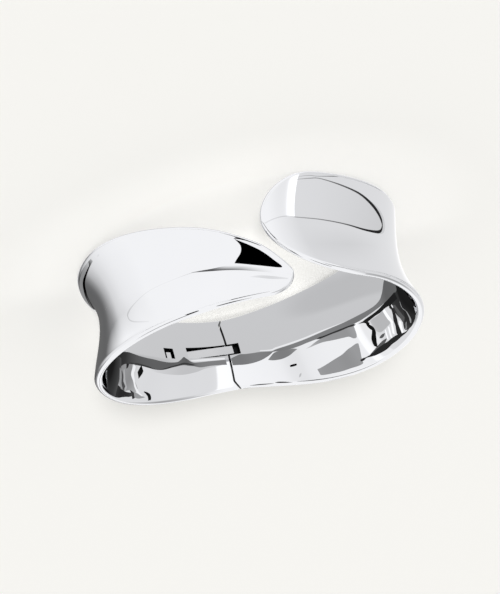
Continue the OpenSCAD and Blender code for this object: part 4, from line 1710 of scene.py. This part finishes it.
def hollow_tone(x, y):
    """Tone of the hollow's floor at a place in millimetres."""
    dx, dy = x - SPOT_X, y - SPOT_Y
    along = (dx * math.cos(SPOT_TURN) + dy * math.sin(SPOT_TURN)) / SPOT_LONG
    aside = (dy * math.cos(SPOT_TURN) - dx * math.sin(SPOT_TURN)) / SPOT_SHORT
    return HOLLOW_TONE + (SPOT_TONE - HOLLOW_TONE) * ease((1 - math.hypot(along, aside)) * 2)


class BANGLE_OT_studio(bpy.types.Operator):
    """Adds the camera, the floor and the light"""

    bl_idname = "bangle.studio"
    bl_label = "Studio"

    def execute(self, context):
        scene, studio, band = context.scene, context.scene.bangle_studio, context.scene.bangle_band
        self.add_camera(scene, studio)
        self.add_floor(studio, band)
        self.add_key(scene, studio)
        self.add_sky(scene, studio)
        self.add_surround(studio)
        for depth, card in enumerate(far_cards(), 1):
            reach = studio.surround_radius - FAR_STEP * depth
            add_card(card, lambda azimuth, elevation: (
                direction(azimuth, elevation) * reach + Vector((0, 0, CAD_MIDDLE))))
        for line in NEAR_LINES:
            add_card(line._replace(rows=line_rows(line.rows)), near_place)
        for depth, card in enumerate(inner_cards()):
            add_card(card, lambda angle, height: (
                inner_place(band, angle, height, depth, card.name in LEANING)), True)
        self.add_hollow_floor(band)
        return {"FINISHED"}

    def add_camera(self, scene, studio):
        """The camera as the photograph holds it."""
        lens = bpy.data.cameras.new("camera")
        lens.lens = studio.lens
        lens.sensor_fit = "VERTICAL"
        lens.sensor_height = 36
        lens.clip_start, lens.clip_end = 0.01, 20
        camera = bpy.data.objects.new("camera", lens)
        scene.collection.objects.link(camera)
        turn = (Matrix.Rotation(studio.azimuth, 4, "Z")
                @ Matrix.Rotation(math.pi / 2 - studio.elevation, 4, "X")
                @ Matrix.Rotation(studio.roll, 4, "Z"))
        camera.matrix_world = (Matrix.Translation(studio.target) @ turn
                               @ Matrix.Translation((0, 0, studio.distance)))
        scene.camera = camera
        scene.view_settings.view_transform = "Standard"

    def add_floor(self, studio, band):
        """The floor, with painted light: a glow round the bangle and a stronger one inside its
        oval, which lift and shape the shade there.
        """
        mesh = block("floor", (-FLOOR_REACH, -FLOOR_REACH, -FLOOR_THICK),
                     (FLOOR_REACH, FLOOR_REACH, 0))
        material = bpy.data.materials.new("floor")
        material.use_nodes = True
        tree = material.node_tree
        split = add_node(tree, "ShaderNodeSeparateXYZ",
                         {"Vector": add_node(tree, "ShaderNodeTexCoord").outputs["Object"]})
        # places and the distance from the middle, in halves of the rims' oval
        x = Value(tree, split.outputs["X"]) / (band.rim_width / 2)
        y = Value(tree, split.outputs["Y"]) / (band.rim_depth / 2)
        share = (x * x + y * y).math("SQRT")
        # the outer glow, painted light, which on the hinge's side is strong behind the hinge and
        # weak beside it
        near = ((GLOW_END - share) / GLOW_RUN).ease()
        behind = ((BESIDE_END - x.math("ABSOLUTE")) / BESIDE_RUN).ease() * BEHIND_GLOW
        near = near * ((y / BEHIND_RUN).ease() * (behind - 1) + 1)
        # the inner glow, painted light, which is weak toward the opening
        back = ((y + LEAST_FRONT) / LEAST_RUN).ease() * (1 - LEAST_GLOW) + LEAST_GLOW
        inside = ((INSIDE_END - x * x * INSIDE_SIDE - share) / INSIDE_RUN).ease() * back
        feed(tree, tree.nodes["Principled BSDF"], {
            "Base Color": (*studio.floor, 1), "Roughness": 0.9, "Specular IOR Level": 0,
            "Emission Color": (*studio.floor, 1),
            "Emission Strength": near * studio.floor_painted_light + inside * studio.hollow_painted_light})
        mesh.materials.append(material)
        add_stage("floor", mesh).visible_glossy = False

    def add_key(self, scene, studio):
        """A low soft key light in front."""
        key = bpy.data.lights.new("key", "SUN")
        key.energy = studio.key_strength
        key.angle = studio.key_size
        way = direction(math.degrees(studio.key_azimuth), math.degrees(studio.key_elevation))
        light = bpy.data.objects.new("key", key)
        scene.collection.objects.link(light)
        # only the turn of such a light counts, and its place is clear of the bangle
        light.matrix_world = (Matrix.Translation(way * 0.3)
                              @ way.to_track_quat("Z", "Y").to_matrix().to_4x4())
        light.visible_glossy = False
        light.visible_camera = False

    def add_sky(self, scene, studio):
        """A sky that is brighter in front of the opening than behind the hinge."""
        scene.world = bpy.data.worlds.new("studio")
        scene.world.use_nodes = True
        tree = scene.world.node_tree
        split = add_node(tree, "ShaderNodeSeparateXYZ",
                         {"Vector": add_node(tree, "ShaderNodeTexCoord").outputs["Generated"]})
        light = add_node(tree, "ShaderNodeMapRange", {
            "Value": split.outputs["Y"], "From Min": -0.8, "From Max": 0.8,
            "To Min": studio.sky_front, "To Max": studio.sky_back}, interpolation_type="SMOOTHSTEP")
        feed(tree, tree.nodes["Background"], {"Color": (1, 1, 1, 1), "Strength": light})

    def add_surround(self, studio):
        """The round surround that the silver mirrors, white with a greyer side: a painted
        reflection, which shows in reflections alone.
        """
        mesh = shaped("surround", bmesh.ops.create_uvsphere, Matrix.Translation((0, 0, CAD_MIDDLE)),
                      u_segments=64, v_segments=32, radius=studio.surround_radius)
        material = bpy.data.materials.new("surround")
        tree = emission_tree(material)
        place = add_node(tree, "ShaderNodeTexCoord").outputs["Object"]
        way = add_node(tree, "ShaderNodeVectorMath", {0: place}, operation="NORMALIZE")
        split = add_node(tree, "ShaderNodeSeparateXYZ", {"Vector": way})
        share = add_node(tree, "ShaderNodeMapRange", {"Value": split.outputs["X"], "From Min": -1})
        ramp = add_node(tree, "ShaderNodeValToRGB", {"Fac": share})
        grey, white = ramp.color_ramp.elements
        grey.position, grey.color = 0.2, (0.98, 0.98, 0.98, 1)
        white.position, white.color = 0.31, (1.25, 1.25, 1.25, 1)
        shine = add_node(tree, "ShaderNodeEmission", {"Color": ramp})
        feed(tree, tree.nodes["Material Output"], {"Surface": shine})
        mesh.materials.append(material)
        add_stage("surround", mesh, mirrored=True)

    def add_hollow_floor(self, band):
        """The floor inside the hollow as the inner wall mirrors it, in the arms' shade."""
        points = [(0, 0, HOLLOW_HEIGHT)]
        for ring in range(1, HOLLOW_RINGS + 1):
            for angle in spaced(0, 360, HOLLOW_STEPS):
                spot = oval_point(band, 1, angle) * ring / HOLLOW_RINGS
                points.append((spot.x, spot.y, HOLLOW_HEIGHT))
        faces = []
        for k in range(HOLLOW_STEPS):
            near, next_near = 1 + k, 1 + (k + 1) % HOLLOW_STEPS
            faces.append((0, near, next_near))
            for base in range(0, (HOLLOW_RINGS - 1) * HOLLOW_STEPS, HOLLOW_STEPS):
                faces.append((base + near, base + HOLLOW_STEPS + near,
                              base + HOLLOW_STEPS + next_near, base + next_near))
        tones = [hollow_tone(x / MM, y / MM) for x, y, _ in points]
        add_glowing("hollow_floor", points, faces, [1.0] * len(points), tones, glow("hollow_floor"))


GROUPS = {
    "bangle_band": BangleBand,
    "bangle_hinge": BangleHinge,
    "bangle_finish": BangleFinish,
    "bangle_studio": BangleStudio,
}
OPERATORS = (BANGLE_OT_arm, BANGLE_OT_knuckles, BANGLE_OT_tongue, BANGLE_OT_peg, BANGLE_OT_pin,
             BANGLE_OT_studio)


class BANGLE_PT_panel(bpy.types.Panel):
    """Lists the bangle's pieces"""

    bl_idname = "BANGLE_PT_panel"
    bl_label = "Bangle"
    bl_space_type = "VIEW_3D"
    bl_region_type = "UI"
    bl_category = "Bangle"

    def draw(self, context):
        for operator in OPERATORS:
            self.layout.operator(operator.bl_idname)


def register():
    for group in GROUPS.values():
        bpy.utils.register_class(group)
    for name, group in GROUPS.items():
        setattr(bpy.types.Scene, name, PointerProperty(type=group))
    for operator in OPERATORS:
        bpy.utils.register_class(operator)
    bpy.utils.register_class(BANGLE_PT_panel)


def unregister():
    bpy.utils.unregister_class(BANGLE_PT_panel)
    for operator in reversed(OPERATORS):
        bpy.utils.unregister_class(operator)
    for name, group in GROUPS.items():
        delattr(bpy.types.Scene, name)
        bpy.utils.unregister_class(group)


def main():
    register()
    for arm in ARMS:
        bpy.ops.bangle.arm(arm=arm)
        bpy.ops.bangle.knuckles(arm=arm)
    bpy.ops.bangle.tongue()
    bpy.ops.bangle.peg()
    bpy.ops.bangle.pin()
    bpy.ops.bangle.studio()


if __name__ == "__main__":
    main()
